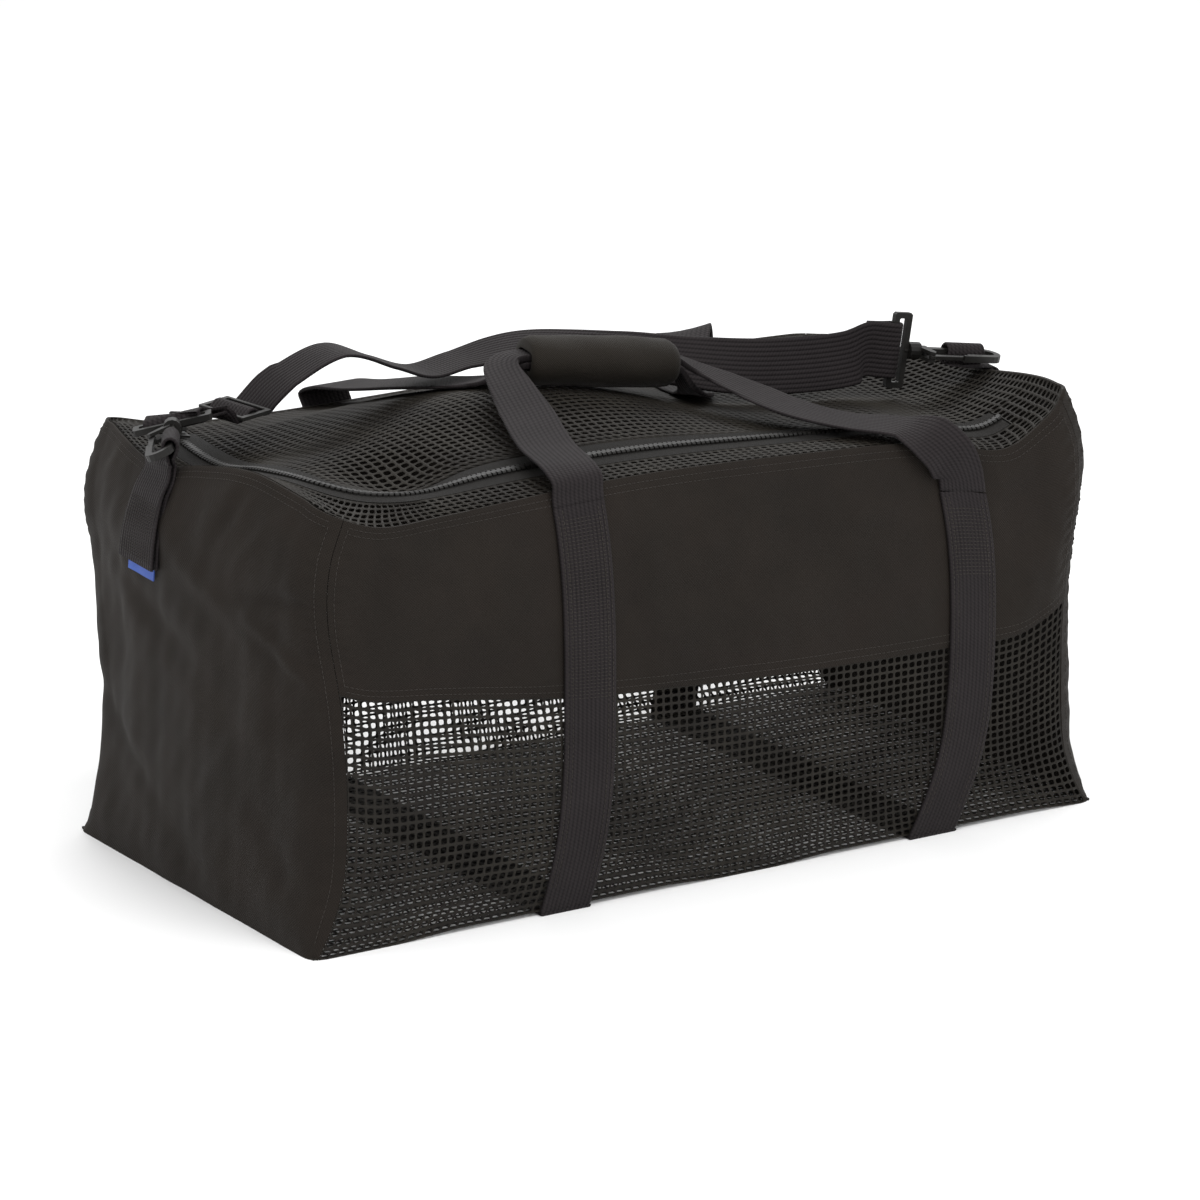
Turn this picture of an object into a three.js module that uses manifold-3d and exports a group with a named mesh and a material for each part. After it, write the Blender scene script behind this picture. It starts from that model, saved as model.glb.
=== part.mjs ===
// Mesh gear bag: a soft box of net and woven cloth with a net lid, a coarse zip, two carry straps and a shoulder strap.
// Millimetres. X runs along the bag, its front faces -Y, Z is up, and the origin is on the floor below its middle.
import * as THREE from 'three';
import { mergeVertices } from 'three/addons/utils/BufferGeometryUtils.js';
import Module from 'manifold-3d';

const wasm = await Module();
wasm.setup();

// Driving sizes of the bag
const bagLength = 610;
const bagDepth = 315;
const wallHeight = 286;
const clothThick = 2;
const netThick = 1.8;
const seamGap = 0.4;
const stitchGap = 0.4;
const rimClear = 0.9;
const frontBelly = 9;
const endBelly = 15;
const seamTurn = 30;

// Driving sizes of the webbing
const carryWidth = 38;
const tabWidth = 50;
const shoulderWidth = 38;
const webThick = 2.2;
const leftStrapX = bagLength * -0.1934;
const rightStrapX = bagLength * 0.2787;
const liftReach = 80;
const liftRun = 44;

// Driving sizes of the zip
const rimMargin = 27;
const tapeWidth = 12;
const tapeThick = 1.2;
const chainWidth = 7.4;
const chainHeight = 4.2;
const chainGap = 0.35;
const cornerRadius = 84;
const zipEndShort = 40;
const zipBackShort = 40;
const roundClear = 0.9;
const endClear = 1.2;

// Driving sizes of the net
const barWidth = 7;
const selvedge = 9;
const cornerCut = 0.6;
const humpSteepAlong = 12;
const humpSteepAcross = 7;

// Driving sizes of the grip, through which both handles run folded in two
const gripLength = 105;
const gripDepth = 40;
const gripHeight = 33;
const gripRim = 3;
const foldedWidth = carryWidth / 2;
const foldedThick = 2 * webThick;
const foldGap = 0.7;
const foldSide = 1.5;

// Driving sizes of the snap hooks and the loops that hold them
const hookReach = 78;
const hookThroat = 9.5;
const hookBar = 4.6;
const barrelRadius = 6;
const barrelLength = 9;
const cheekThick = 2.2;
const pinRadius = 1.3;
const gateLength = 25;
const gateThick = 2.6;
const gateBar = 3.2;
const noseLip = 4;
const loopBar = 4;
const loopDepth = 14;
const loopSpare = 3;
const studRadius = 2.4;
const runGap = 0.35;

// Driving sizes of the tabs and the small trim
const tabTopWidth = 30;
const tabMiddle = 53;
const tabLoopRise = 5.6;
const tabPinch = 1.3;
const labelWidth = 30;
const labelDrop = 8;
const labelThick = 0.7;
const glideBar = 2.6;
const glideStep = 11;
const glideRim = 4;
const foldBack = 22;
const sliderLength = 17;
const sliderWidth = 11;
const sliderPlate = 1.6;
const bridgeShare = 0.4;
const bailHeight = 4.6;
const bailBar = 1.5;
const bailWidth = 2.4;
const pullLength = 13;
const pullWidth = 11;
const pullBar = 2.2;
const pullLean = 62;

// Colours
const clothBlack = 0x2e2b27;
const netBlack = 0x35332f;
const webBlack = 0x39363b;
const tapeBlack = 0x262524;
const plasticBlack = 0x33322f;
const labelBlue = 0x3a57a8;

// The walls' shape by height: how far ends and sides lie in and how round the corners are, as shares
// of the length and the depth, and how much of the middle's bulge each height has
const wallSections = [
  { height: 0.0, endsIn: 0.0, sidesIn: 0.0, round: 0.035, frontBulge: 0.0, endBulge: 0.0 },
  { height: 0.07, endsIn: 0.001, sidesIn: -0.006, round: 0.1, frontBulge: 0.4, endBulge: 0.25 },
  { height: 0.18, endsIn: 0.004, sidesIn: -0.012, round: 0.15, frontBulge: 0.8, endBulge: 0.5 },
  { height: 0.38, endsIn: 0.004, sidesIn: -0.014, round: 0.165, frontBulge: 1.0, endBulge: 0.75 },
  { height: 0.58, endsIn: 0.002, sidesIn: -0.01, round: 0.15, frontBulge: 1.0, endBulge: 0.9 },
  { height: 0.78, endsIn: -0.003, sidesIn: -0.004, round: 0.115, frontBulge: 0.8, endBulge: 1.0 },
  { height: 0.9, endsIn: 0.006, sidesIn: 0.0, round: 0.095, frontBulge: 0.5, endBulge: 1.05 },
  { height: 1.0, endsIn: 0.027, sidesIn: 0.007, round: 0.085, frontBulge: 0.0, endBulge: 1.1 },
];

// The rim's rise over the wall's height, by place along each side, as a share of the height
const rimSides = {
  front: [
    { along: 0.0, rise: 0.0 },
    { along: 0.06, rise: -0.036 },
    { along: 0.13, rise: -0.034 },
    { along: 0.38, rise: -0.015 },
    { along: 0.6, rise: -0.028 },
    { along: 0.8, rise: -0.055 },
    { along: 0.9, rise: -0.1 },
    { along: 0.96, rise: -0.045 },
    { along: 1.0, rise: 0.01 },
  ],
  right: [
    { along: 0.0, rise: 0.01 },
    { along: 0.12, rise: 0.004 },
    { along: 0.23, rise: -0.012 },
    { along: 0.41, rise: -0.045 },
    { along: 0.5, rise: -0.058 },
    { along: 0.65, rise: -0.06 },
    { along: 0.9, rise: -0.07 },
    { along: 1.0, rise: -0.078 },
  ],
  back: [
    { along: 0.0, rise: -0.078 },
    { along: 0.12, rise: -0.072 },
    { along: 0.5, rise: -0.065 },
    { along: 0.88, rise: -0.06 },
    { along: 1.0, rise: -0.01 },
  ],
  left: [
    { along: 0.0, rise: -0.01 },
    { along: 0.08, rise: -0.005 },
    { along: 0.38, rise: -0.023 },
    { along: 0.58, rise: 0.026 },
    { along: 0.76, rise: 0.052 },
    { along: 0.9, rise: 0.03 },
    { along: 1.0, rise: 0.0 },
  ],
};

// The seam between band and net on the long sides, as a share of the local height
const bandSeam = [
  { along: 0.0, share: 0.61 },
  { along: 0.1, share: 0.585 },
  { along: 0.3, share: 0.52 },
  { along: 0.5, share: 0.495 },
  { along: 0.8, share: 0.485 },
  { along: 1.0, share: 0.52 },
];

// Humps and hollows of the lid, placed as shares of its length and depth from the front left corner
const lidHumps = [
  { along: 0.34, across: 0.58, reachAlong: 0.19, reachAcross: 0.3, rise: 0.085 },
  { along: 0.5, across: 0.5, reachAlong: 0.13, reachAcross: 0.25, rise: 0.044 },
  { along: 0.17, across: 0.24, reachAlong: 0.055, reachAcross: 0.1, rise: -0.045 },
  { along: 0.88, across: 0.45, reachAlong: 0.12, reachAcross: 0.3, rise: 0.012 },
];

// A smooth value from a table of rows, by one of its columns
function fromTable(rows, key, column, at) {
  const last = rows.length - 1;
  let row = 0;
  while (row < last - 1 && at > rows[row + 1][key]) row += 1;
  const from = rows[row];
  const to = rows[row + 1];
  const span = to[key] - from[key];
  const share = THREE.MathUtils.clamp((at - from[key]) / span, 0, 1);
  const before = rows[Math.max(row - 1, 0)];
  const after = rows[Math.min(row + 2, last)];
  const slopeIn = ((to[column] - before[column]) / (to[key] - before[key])) * span;
  const slopeOut = ((after[column] - from[column]) / (after[key] - from[key])) * span;
  const s2 = share * share;
  const s3 = s2 * share;
  return (
    (2 * s3 - 3 * s2 + 1) * from[column] +
    (s3 - 2 * s2 + share) * slopeIn +
    (3 * s2 - 2 * s3) * to[column] +
    (s3 - s2) * slopeOut
  );
}

function spread(from, to, steps) {
  return Array.from({ length: steps + 1 }, (_, i) => from + ((to - from) * i) / steps);
}

// The walls' plan at a height. Place 0 to 1 runs along the front, 1 to 2 along the right end, then the back and
// the left end, and whole numbers are the middles of the rounded corners
function wallPlan(place, height) {
  const value = (column) => fromTable(wallSections, 'height', column, height);
  const halfLength = bagLength * (0.5 - value('endsIn'));
  const halfDepth = bagDepth * (0.5 - value('sidesIn'));
  const radius = bagDepth * value('round');
  const side = Math.floor(place) - 4 * Math.floor(place / 4);
  const across = side % 2 === 0;
  const halfSide = across ? halfLength : halfDepth;
  const reach = across ? halfDepth : halfLength;
  const bulge = across ? frontBelly * value('frontBulge') : endBelly * value('endBulge');
  const straight = halfSide - radius;
  const arc = (Math.PI / 4) * radius;
  const run = (place - Math.floor(place)) * 2 * (straight + arc) - (straight + arc);
  const over = Math.abs(run) - straight;
  const local = new THREE.Vector2();
  if (over > 0) {
    const angle = over / radius;
    local.set(Math.sign(run) * (straight + radius * Math.sin(angle)), -(reach - radius + radius * Math.cos(angle)));
  } else {
    local.set(run, -reach - bulge * (1 - (run / straight) ** 2));
  }
  return local.rotateAround(new THREE.Vector2(), (side * Math.PI) / 2);
}

const sideNames = ['front', 'right', 'back', 'left'];

function rimRise(place) {
  const turned = place - 4 * Math.floor(place / 4);
  const side = Math.floor(turned);
  return fromTable(rimSides[sideNames[side]], 'along', 'rise', turned - side);
}

// The base is lifted off the floor where a strap runs under it
function strapLift(x) {
  const near = Math.min(Math.abs(x - leftStrapX), Math.abs(x - rightStrapX)) - liftReach;
  const share = THREE.MathUtils.clamp(1 - near / liftRun, 0, 1);
  return (webThick + seamGap) * share;
}

function wallPoint(place, height) {
  const plan = wallPlan(place, height);
  const z = strapLift(plan.x) * (1 - height) ** 3 + height * wallHeight * (1 + rimRise(place));
  return new THREE.Vector3(plan.x, plan.y, z);
}

// The seam's height share at a place on a long side
function seamShare(place) {
  const turned = place - 4 * Math.floor(place / 4);
  const along = turned < 1 ? turned : 3 - turned;
  return fromTable(bandSeam, 'along', 'share', THREE.MathUtils.clamp(along, 0, 1));
}

// A long side by row: 0 to 1 is the net from the base to the seam, and 1 to 2 the band from the seam to the rim
function sidePoint(place, row) {
  const seam = seamShare(place);
  return wallPoint(place, row < 1 ? seam * row : seam + (1 - seam) * (row - 1));
}

function normalOf(surface, u, v, step = 1e-3) {
  const along = surface(u + step, v).sub(surface(u - step, v));
  const up = surface(u, v + step).sub(surface(u, v - step));
  return along.cross(up).normalize();
}

// A closed solid from a grid of cells: each point has a place and a normal, open cells are left out,
// and walls close the solid round its edge and round each opening
function gridSolid(columns, rows, pointAt, inner, outer, isOpen = () => false) {
  const positions = [];
  const faces = [];
  const index = new Map();
  const vertex = (i, j, layer) => {
    const key = `${i},${j},${layer}`;
    if (!index.has(key)) {
      const { place, normal } = pointAt(i, j);
      const at = place.clone().addScaledVector(normal, layer ? outer : inner);
      index.set(key, positions.length / 3);
      positions.push(at.x, at.y, at.z);
    }
    return index.get(key);
  };
  const quad = (a, b, c, d) => faces.push(a, b, c, a, c, d);
  const solid = (i, j) => i >= 0 && j >= 0 && i < columns - 1 && j < rows - 1 && !isOpen(i, j);
  for (let i = 0; i < columns - 1; i += 1) {
    for (let j = 0; j < rows - 1; j += 1) {
      if (!solid(i, j)) continue;
      const corners = [[i, j], [i + 1, j], [i + 1, j + 1], [i, j + 1]];
      const top = corners.map(([a, b]) => vertex(a, b, 1));
      const low = corners.map(([a, b]) => vertex(a, b, 0));
      quad(top[0], top[1], top[2], top[3]);
      quad(low[0], low[3], low[2], low[1]);
      const beside = [[i, j - 1], [i + 1, j], [i, j + 1], [i - 1, j]];
      beside.forEach(([a, b], edge) => {
        const next = (edge + 1) % 4;
        if (!solid(a, b)) quad(top[edge], low[edge], low[next], top[next]);
      });
    }
  }
  const geometry = new THREE.BufferGeometry();
  geometry.setAttribute('position', new THREE.Float32BufferAttribute(positions, 3));
  geometry.setIndex(faces);
  return geometry;
}

function sheet(surface, us, vs, inner, outer, isOpen) {
  const pointAt = (i, j) => ({ place: surface(us[i], vs[j]), normal: normalOf(surface, us[i], vs[j]) });
  return gridSolid(us.length, vs.length, pointAt, inner, outer, isOpen);
}

// Grid lines of a net: bars between openings, with a firm selvedge at both ends
function netLines(length, openings, edge = selvedge) {
  const gap = (length - 2 * edge - (openings - 1) * barWidth) / openings;
  const lines = [0];
  for (let k = 0; k < openings; k += 1) {
    const start = edge + k * (gap + barWidth);
    lines.push(start, start + gap);
  }
  lines.push(length);
  return lines.map((at) => at / length);
}

const odd = (n) => n % 2 === 1;

function toSolid(geometry) {
  const bare = geometry.clone();
  bare.deleteAttribute('normal');
  bare.deleteAttribute('uv');
  const merged = mergeVertices(bare, 1e-4);
  const vertProperties = new Float32Array(merged.attributes.position.array);
  const triVerts = new Uint32Array(merged.index.array);
  return new wasm.Manifold(new wasm.Mesh({ numProp: 3, vertProperties, triVerts }));
}

function fromSolid(solid) {
  const mesh = solid.getMesh();
  const geometry = new THREE.BufferGeometry();
  geometry.setAttribute('position', new THREE.Float32BufferAttribute(mesh.vertProperties, 3));
  geometry.setIndex(Array.from(mesh.triVerts));
  return geometry;
}

function joined(...geometries) {
  return fromSolid(geometries.map(toSolid).reduce((whole, piece) => whole.add(piece)));
}

const bag = new THREE.Group();

function addPiece(name, geometry, color, roughness, metalness = 0) {
  const material = new THREE.MeshStandardMaterial({ color, roughness, metalness });
  const mesh = new THREE.Mesh(geometry, material);
  mesh.name = name;
  bag.add(mesh);
  return mesh;
}

// Seams stand a set angle round the corners, on the long side of each corner's middle
function seamPlace(corner, height, direction) {
  const radius = bagDepth * fromTable(wallSections, 'height', 'round', height);
  const halfLength = bagLength * (0.5 - fromTable(wallSections, 'height', 'endsIn', height));
  const length = 2 * (halfLength - radius + (Math.PI / 4) * radius);
  const turn = THREE.MathUtils.degToRad(45 - seamTurn) * radius;
  return corner + direction * (turn / length);
}

// The long side's span between its seams, leaving the seam's gap
function longSide(first) {
  return (along, row) => {
    const seam = seamShare(first + along);
    const height = row < 1 ? seam * row : seam + (1 - seam) * (row - 1);
    const gap = seamGap / bagLength;
    const from = seamPlace(first, height, 1) + gap;
    const to = seamPlace(first + 1, height, -1) - gap;
    return wallPoint(from + (to - from) * along, height);
  };
}

function endPanel(corner) {
  const seam = seamShare(corner);
  return (along, row) => {
    const height = row < 1 ? seam * row : seam + (1 - seam) * (row - 1);
    const from = seamPlace(corner, height, -1);
    const to = seamPlace(corner + 1, height, 1);
    return wallPoint(from + (to - from) * along, height);
  };
}

// Height shares of the rows of the bands and ends, and places of the columns that follow the rim's dips
const bandRows = [1, 1.3, 1.62, 1.84, 2];
const endColumns = [0, 0.035, 0.07, 0.11, 0.2, 0.35, 0.5, 0.65, 0.8, 0.89, 0.93, 0.965, 1];
const dipColumns = [0.035, 0.06, 0.92, 0.945, 0.965];
const netColumns = 9;
const netRows = 3;
const sideNetHeight = wallHeight * 0.5;

// The openings between a net's lines, as pairs of line places
function openingsOf(lines) {
  return lines.slice(0, -1).flatMap((line, k) => (odd(k) ? [[line, lines[k + 1]]] : []));
}

function within(openings, from, to) {
  return openings.some(([start, end]) => from >= start && to <= end);
}

function buildWalls() {
  const seam = seamGap / wallHeight;
  const rowsOfBand = bandRows.map((row) => (row === 1 ? 1 + 2 * seam : row));
  const lines = netLines(bagLength, netColumns);
  const openings = openingsOf(lines);
  const columns = [...lines, ...dipColumns].sort((from, to) => from - to);
  const rows = netLines(sideNetHeight, netRows).map((row) => row * (1 - 2 * seam));
  const isOpen = (i, j) => odd(j) && within(openings, columns[i], columns[i + 1]);
  ['front', 'back'].forEach((side, n) => {
    const surface = longSide(2 * n);
    addPiece(`${side}_band`, sheet(surface, columns, rowsOfBand, -clothThick, 0), clothBlack, 0.85);
    addPiece(`${side}_net`, sheet(surface, columns, rows, -netThick, 0, isOpen), netBlack, 0.6);
  });
  const endRows = [...rows, ...rowsOfBand];
  addPiece('right_end', sheet(endPanel(1), endColumns, endRows, -clothThick, 0), clothBlack, 0.85);
  addPiece('left_end', sheet(endPanel(3), endColumns, endRows, -clothThick, 0), clothBlack, 0.85);
}

// The base net lies inside the walls, lifted where the straps pass below it
function buildBase() {
  const inset = clothThick + seamGap;
  const halfLength = bagLength / 2 - inset;
  const halfDepth = bagDepth / 2 - inset;
  const corner = bagDepth * wallSections[0].round;
  const strapEdge = carryWidth / 2 + selvedge / 2;
  const knots = [
    { x: -halfLength, openings: 3 },
    { x: leftStrapX - strapEdge, openings: 0 },
    { x: leftStrapX + strapEdge, openings: 3 },
    { x: rightStrapX - strapEdge, openings: 0 },
    { x: rightStrapX + strapEdge, openings: 2 },
    { x: halfLength, openings: 0 },
  ];
  const xs = [];
  const openColumns = new Set();
  knots.slice(0, -1).forEach((knot, k) => {
    const width = knots[k + 1].x - knot.x;
    const edge = k === 0 || k === knots.length - 2 ? selvedge + corner / 2 : selvedge;
    const lines = knot.openings ? netLines(width, knot.openings, edge) : [0, 1];
    lines.slice(0, -1).forEach((share, line) => {
      if (knot.openings && odd(line)) openColumns.add(xs.length);
      xs.push(knot.x + share * width);
    });
  });
  xs.push(halfLength);
  const ys = netLines(2 * halfDepth, netRows, selvedge + corner / 2).map((share) => halfDepth * (2 * share - 1));
  const pointAt = (i, j) => {
    const place = new THREE.Vector3(xs[i], ys[j], strapLift(xs[i]));
    const atEnd = i === 0 || i === xs.length - 1;
    const atSide = j === 0 || j === ys.length - 1;
    if (atEnd && atSide) {
      place.x -= Math.sign(place.x) * corner * cornerCut;
      place.y -= Math.sign(place.y) * corner * cornerCut;
    }
    return { place, normal: new THREE.Vector3(0, 0, 1) };
  };
  const isOpen = (i, j) => openColumns.has(i) && odd(j);
  addPiece('bottom_net', gridSolid(xs.length, ys.length, pointAt, 0, netThick, isOpen), netBlack, 0.6);
}

// The lid spans the rim: along and across run from 0 to 1 from the front left corner
function rimPoint(place) {
  const at = wallPoint(place, 1);
  const step = 1e-3;
  const along = wallPoint(place + step, 1).sub(wallPoint(place - step, 1));
  const inward = new THREE.Vector3(-along.y, along.x, 0).normalize();
  return at.addScaledVector(inward, clothThick + rimClear);
}

function lidPoint(along, across) {
  const u = THREE.MathUtils.clamp(along, 0, 1);
  const v = THREE.MathUtils.clamp(across, 0, 1);
  const front = rimPoint(u);
  const point = front.lerp(rimPoint(3 - u), v);
  // The ends' own shape fades out towards the middle
  const leftShift = rimPoint(4 - v).sub(rimPoint(0).lerp(rimPoint(3), v));
  const rightShift = rimPoint(1 + v).sub(rimPoint(1).lerp(rimPoint(2), v));
  point.addScaledVector(leftShift, (1 - u) ** 3).addScaledVector(rightShift, u ** 3);
  const window = Math.min(1, humpSteepAlong * u * (1 - u)) * Math.min(1, humpSteepAcross * v * (1 - v));
  const hump = lidHumps.reduce((sum, row) => {
    const spreadU = (u - row.along) / row.reachAlong;
    const spreadV = (v - row.across) / row.reachAcross;
    return sum + row.rise * Math.exp(-spreadU * spreadU - spreadV * spreadV);
  }, 0);
  point.z += hump * window * wallHeight;
  return point;
}

// The lid measured in millimetres from the front left corner of the rim
const rimLength = bagLength * (1 - 2 * wallSections.at(-1).endsIn);
const rimDepth = bagDepth * (1 - 2 * wallSections.at(-1).sidesIn);

function lidAt(x, y) {
  return lidPoint(x / rimLength, y / rimDepth);
}

// The zip's line, a set distance in from the front and left rims. Station 0 is its right end, 1 to 2 its
// round corner and 3 its back end
const zipInner = rimMargin + 2 * (tapeWidth + chainGap) + chainWidth;
const zipRight = rimLength - zipEndShort;
const zipBack = rimDepth - zipBackShort;
const cornerSteps = 7;

function zipRoute(distance, station) {
  if (station <= 1) return new THREE.Vector2(zipRight - station * (zipRight - cornerRadius), distance);
  if (station >= 2) return new THREE.Vector2(distance, cornerRadius + (station - 2) * (zipBack - cornerRadius));
  const radius = cornerRadius - distance;
  const angle = ((station - 1) * Math.PI) / 2;
  return new THREE.Vector2(cornerRadius - radius * Math.sin(angle), cornerRadius - radius * Math.cos(angle));
}

// Lines across the lid that the nets and the zip's left leg share, from the corner's start to the back rim
const backLines = netLines(rimDepth - cornerRadius, 3).map((share) => cornerRadius + share * (rimDepth - cornerRadius));
const legLines = [...backLines.filter((y) => y < zipBack - selvedge), zipBack - selvedge, zipBack];
const legStations = legLines.map((y) => 2 + (y - cornerRadius) / (zipBack - cornerRadius));
const zipStations = [...spread(0, 1, 13), ...spread(1, 2, cornerSteps).slice(1, -1), ...legStations];

function zipSurface(station, distance) {
  const at = zipRoute(distance, station);
  return lidAt(at.x, at.y);
}

function zipStrip(from, to, inner, outer, stations = zipStations) {
  // Distance comes second with its sign turned, so that normals point up
  const surface = (station, turned) => zipSurface(station, -turned);
  return sheet(surface, stations, [-to, -from], inner, outer);
}

const chainFrom = rimMargin + tapeWidth + 2 * chainGap;
const chainTo = chainFrom + chainWidth - 2 * chainGap;

function buildZip() {
  const outerFrom = rimMargin + chainGap;
  const outerTo = rimMargin + tapeWidth;
  const innerFrom = chainTo + chainGap;
  const innerTo = zipInner - chainGap;
  addPiece('zip_tape_outer', zipStrip(outerFrom, outerTo, -tapeThick, 0), tapeBlack, 0.8);
  addPiece('zip_tape_inner', zipStrip(innerFrom, innerTo, -tapeThick, 0), tapeBlack, 0.8);
  const chainEnd = 3 - (sliderPlate * 2) / (zipBack - cornerRadius);
  const stations = [...zipStations.slice(0, -1), chainEnd];
  const chain = zipStrip(chainFrom, chainTo, -chainHeight / 2, chainHeight / 2, stations);
  addPiece('zip_chain', chain, plasticBlack, 0.45);
}

// The nets between rim and zip meet on the corner's diagonal, and each widens past the zip's end
const marginLines = [0, selvedge * 0.7, rimMargin - selvedge * 0.6, rimMargin, zipInner - 2 * seamGap];
const up = new THREE.Vector3(0, 0, 1);

// A place in a margin: run is measured along the rim from the bag's corner, and depth in from the rim
function marginPlace(run, depth) {
  if (run >= cornerRadius || depth > rimMargin) return new THREE.Vector2(run, depth);
  const angle = ((1 - run / cornerRadius) * Math.PI) / 4;
  const radius = cornerRadius - rimMargin + roundClear;
  const round = new THREE.Vector2(cornerRadius - radius * Math.sin(angle), cornerRadius - radius * Math.cos(angle));
  return new THREE.Vector2(run, 0).lerp(round, depth / rimMargin);
}

function marginOpen(lines, openings, zipEnd) {
  return (i, j) => {
    if (j === 3) return lines[i] < zipEnd;
    return j === 1 && within(openings, lines[i], lines[i + 1]);
  };
}

function buildRimNets() {
  const corner = spread(0, cornerRadius, 3).slice(0, -1);
  const run = zipRight - cornerRadius;
  const frontCells = netLines(run, 9).map((share) => cornerRadius + share * run);
  const frontX = [...corner, ...frontCells.slice(0, -1), zipRight + endClear, rimLength - selvedge, rimLength];
  const frontPoint = (i, j) => {
    const at = marginPlace(frontX[i], marginLines[j]);
    return { place: lidAt(at.x, at.y), normal: up };
  };
  const frontOpen = marginOpen(frontX, openingsOf(frontCells.slice(0, -1)), zipRight);
  const front = gridSolid(frontX.length, marginLines.length, frontPoint, -netThick, 0, frontOpen);
  addPiece('front_rim_net', front, netBlack, 0.6);

  const beyond = backLines.filter((y) => y > zipBack + selvedge);
  const leftY = [...corner, ...legLines.slice(0, -1), zipBack + endClear, ...beyond];
  const leftPoint = (i, j) => {
    const at = marginPlace(leftY[i], marginLines[j]);
    const place = lidAt(at.y, at.x);
    if (i === 0) place.y += seamGap;
    return { place, normal: up.clone().negate() };
  };
  const leftOpen = marginOpen(leftY, openingsOf(legLines.slice(0, -1)), zipBack);
  const left = gridSolid(leftY.length, marginLines.length, leftPoint, 0, netThick, leftOpen);
  addPiece('left_rim_net', left, netBlack, 0.6);
}

// The lid's net: its front left corner follows the zip's round, and its other edges reach the rim
function buildLid() {
  const radius = cornerRadius - zipInner;
  const cut = [zipBack - selvedge, zipBack].filter((y) => !backLines.includes(y));
  const ys = [zipInner, zipInner + radius * 0.3, ...[...backLines, ...cut].sort((a, b) => a - b)];
  const leftEdge = (y) => {
    const drop = Math.max(cornerRadius - y, 0);
    return cornerRadius - Math.sqrt(Math.max(radius * radius - drop * drop, 0)) + seamGap;
  };
  const shares = netLines(rimLength - zipInner, 9);
  const pointAt = (i, j) => {
    const from = leftEdge(ys[j]);
    const x = from + (rimLength - from) * shares[i];
    return { place: lidAt(x, ys[j] + (j === 0 ? seamGap : 0)), normal: up };
  };
  const cells = openingsOf(backLines);
  const isOpen = (i, j) => odd(i) && within(cells, ys[j], ys[j + 1]);
  addPiece('lid_net', gridSolid(shares.length, ys.length, pointAt, -netThick, 0, isOpen), netBlack, 0.6);
}

// The slider sits on the chain's back end, with a bail on top that holds the pull's ring
function frameFrom(origin, along, across) {
  const a = along.clone().normalize();
  const b = across.clone().addScaledVector(a, -across.dot(a)).normalize();
  return new THREE.Matrix4().makeBasis(a, b, a.clone().cross(b)).setPosition(origin);
}

function box(fromX, toX, fromY, toY, fromZ, toZ) {
  const geometry = new THREE.BoxGeometry(toX - fromX, toY - fromY, toZ - fromZ);
  return geometry.translate((fromX + toX) / 2, (fromY + toY) / 2, (fromZ + toZ) / 2);
}

const chainMiddle = (chainFrom + chainTo) / 2;
const sliderStation = 3 - sliderLength / 2 / (zipBack - cornerRadius);
const sliderBase = zipSurface(sliderStation, chainMiddle);
const sliderAlong = zipSurface(sliderStation + 0.01, chainMiddle).sub(sliderBase);
const sliderAcross = zipSurface(sliderStation, chainFrom).sub(zipSurface(sliderStation, chainTo));
const sliderFrame = frameFrom(sliderBase, sliderAlong, sliderAcross);
const plateFoot = chainHeight / 2 + runGap;
const plateTop = plateFoot + sliderPlate;
const pullClear = (pullBar / 2) * Math.SQRT2 + runGap;
const pivotRise = plateTop + pullClear;

function buildSlider() {
  const half = sliderLength / 2;
  const wide = sliderWidth / 2;
  const top = box(-half, half, -wide, wide, plateFoot, plateTop);
  const low = box(-half, half, -wide, wide, -plateTop, -plateFoot);
  const bridgeWidth = (chainWidth - 2 * chainGap) * bridgeShare;
  const bridge = box(half - sliderPlate, half, -bridgeWidth, bridgeWidth, -plateTop, plateTop);
  const post = bailHeight / 2 + bailBar;
  const bail = bailWidth / 2;
  const bailTop = plateTop + bailHeight + bailBar;
  const arch = box(-post, post, -bail, bail, plateTop - bailBar / 2, bailTop);
  const hole = box(bailBar - post, post - bailBar, -wide, wide, plateTop, plateTop + 2 * pullClear);
  const body = [top, low, bridge, arch].map(toSolid).reduce((whole, piece) => whole.add(piece));
  const slider = fromSolid(body.subtract(toSolid(hole)));
  addPiece('zip_slider', slider.applyMatrix4(sliderFrame), plasticBlack, 0.4);

  const outline = new THREE.Shape();
  const end = pullLength - pullBar / 2;
  outline.moveTo(-pullBar / 2, -pullWidth / 2);
  outline.lineTo(end, -pullWidth / 2);
  outline.lineTo(end, pullWidth / 2);
  outline.lineTo(-pullBar / 2, pullWidth / 2);
  outline.closePath();
  const inner = pullWidth / 2 - pullBar;
  const window = new THREE.Path();
  window.moveTo(pullBar / 2, -inner);
  window.lineTo(pullBar / 2, inner);
  window.lineTo(end - pullBar, inner);
  window.lineTo(end - pullBar, -inner);
  window.closePath();
  outline.holes.push(window);
  const ring = new THREE.ExtrudeGeometry(outline, { depth: pullBar, bevelEnabled: false });
  ring.translate(0, 0, -pullBar / 2);
  ring.rotateY(-THREE.MathUtils.degToRad(pullLean));
  ring.translate(0, 0, pivotRise);
  addPiece('zip_pull', ring.applyMatrix4(sliderFrame), plasticBlack, 0.4);
}

// A place given as shares of the bag's length, depth and height
function placeAt(along, across, rise) {
  return new THREE.Vector3(bagLength * along, bagDepth * across, wallHeight * rise);
}

// Direction of a band's width: turn is its heading from +Y towards +X in degrees, and tilt how far it points up
function widthWay(turn, tilt = 0) {
  const heading = THREE.MathUtils.degToRad(turn);
  const slope = THREE.MathUtils.degToRad(tilt);
  const level = Math.cos(slope);
  return new THREE.Vector3(Math.sin(heading) * level, Math.cos(heading) * level, Math.sin(slope));
}

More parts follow.
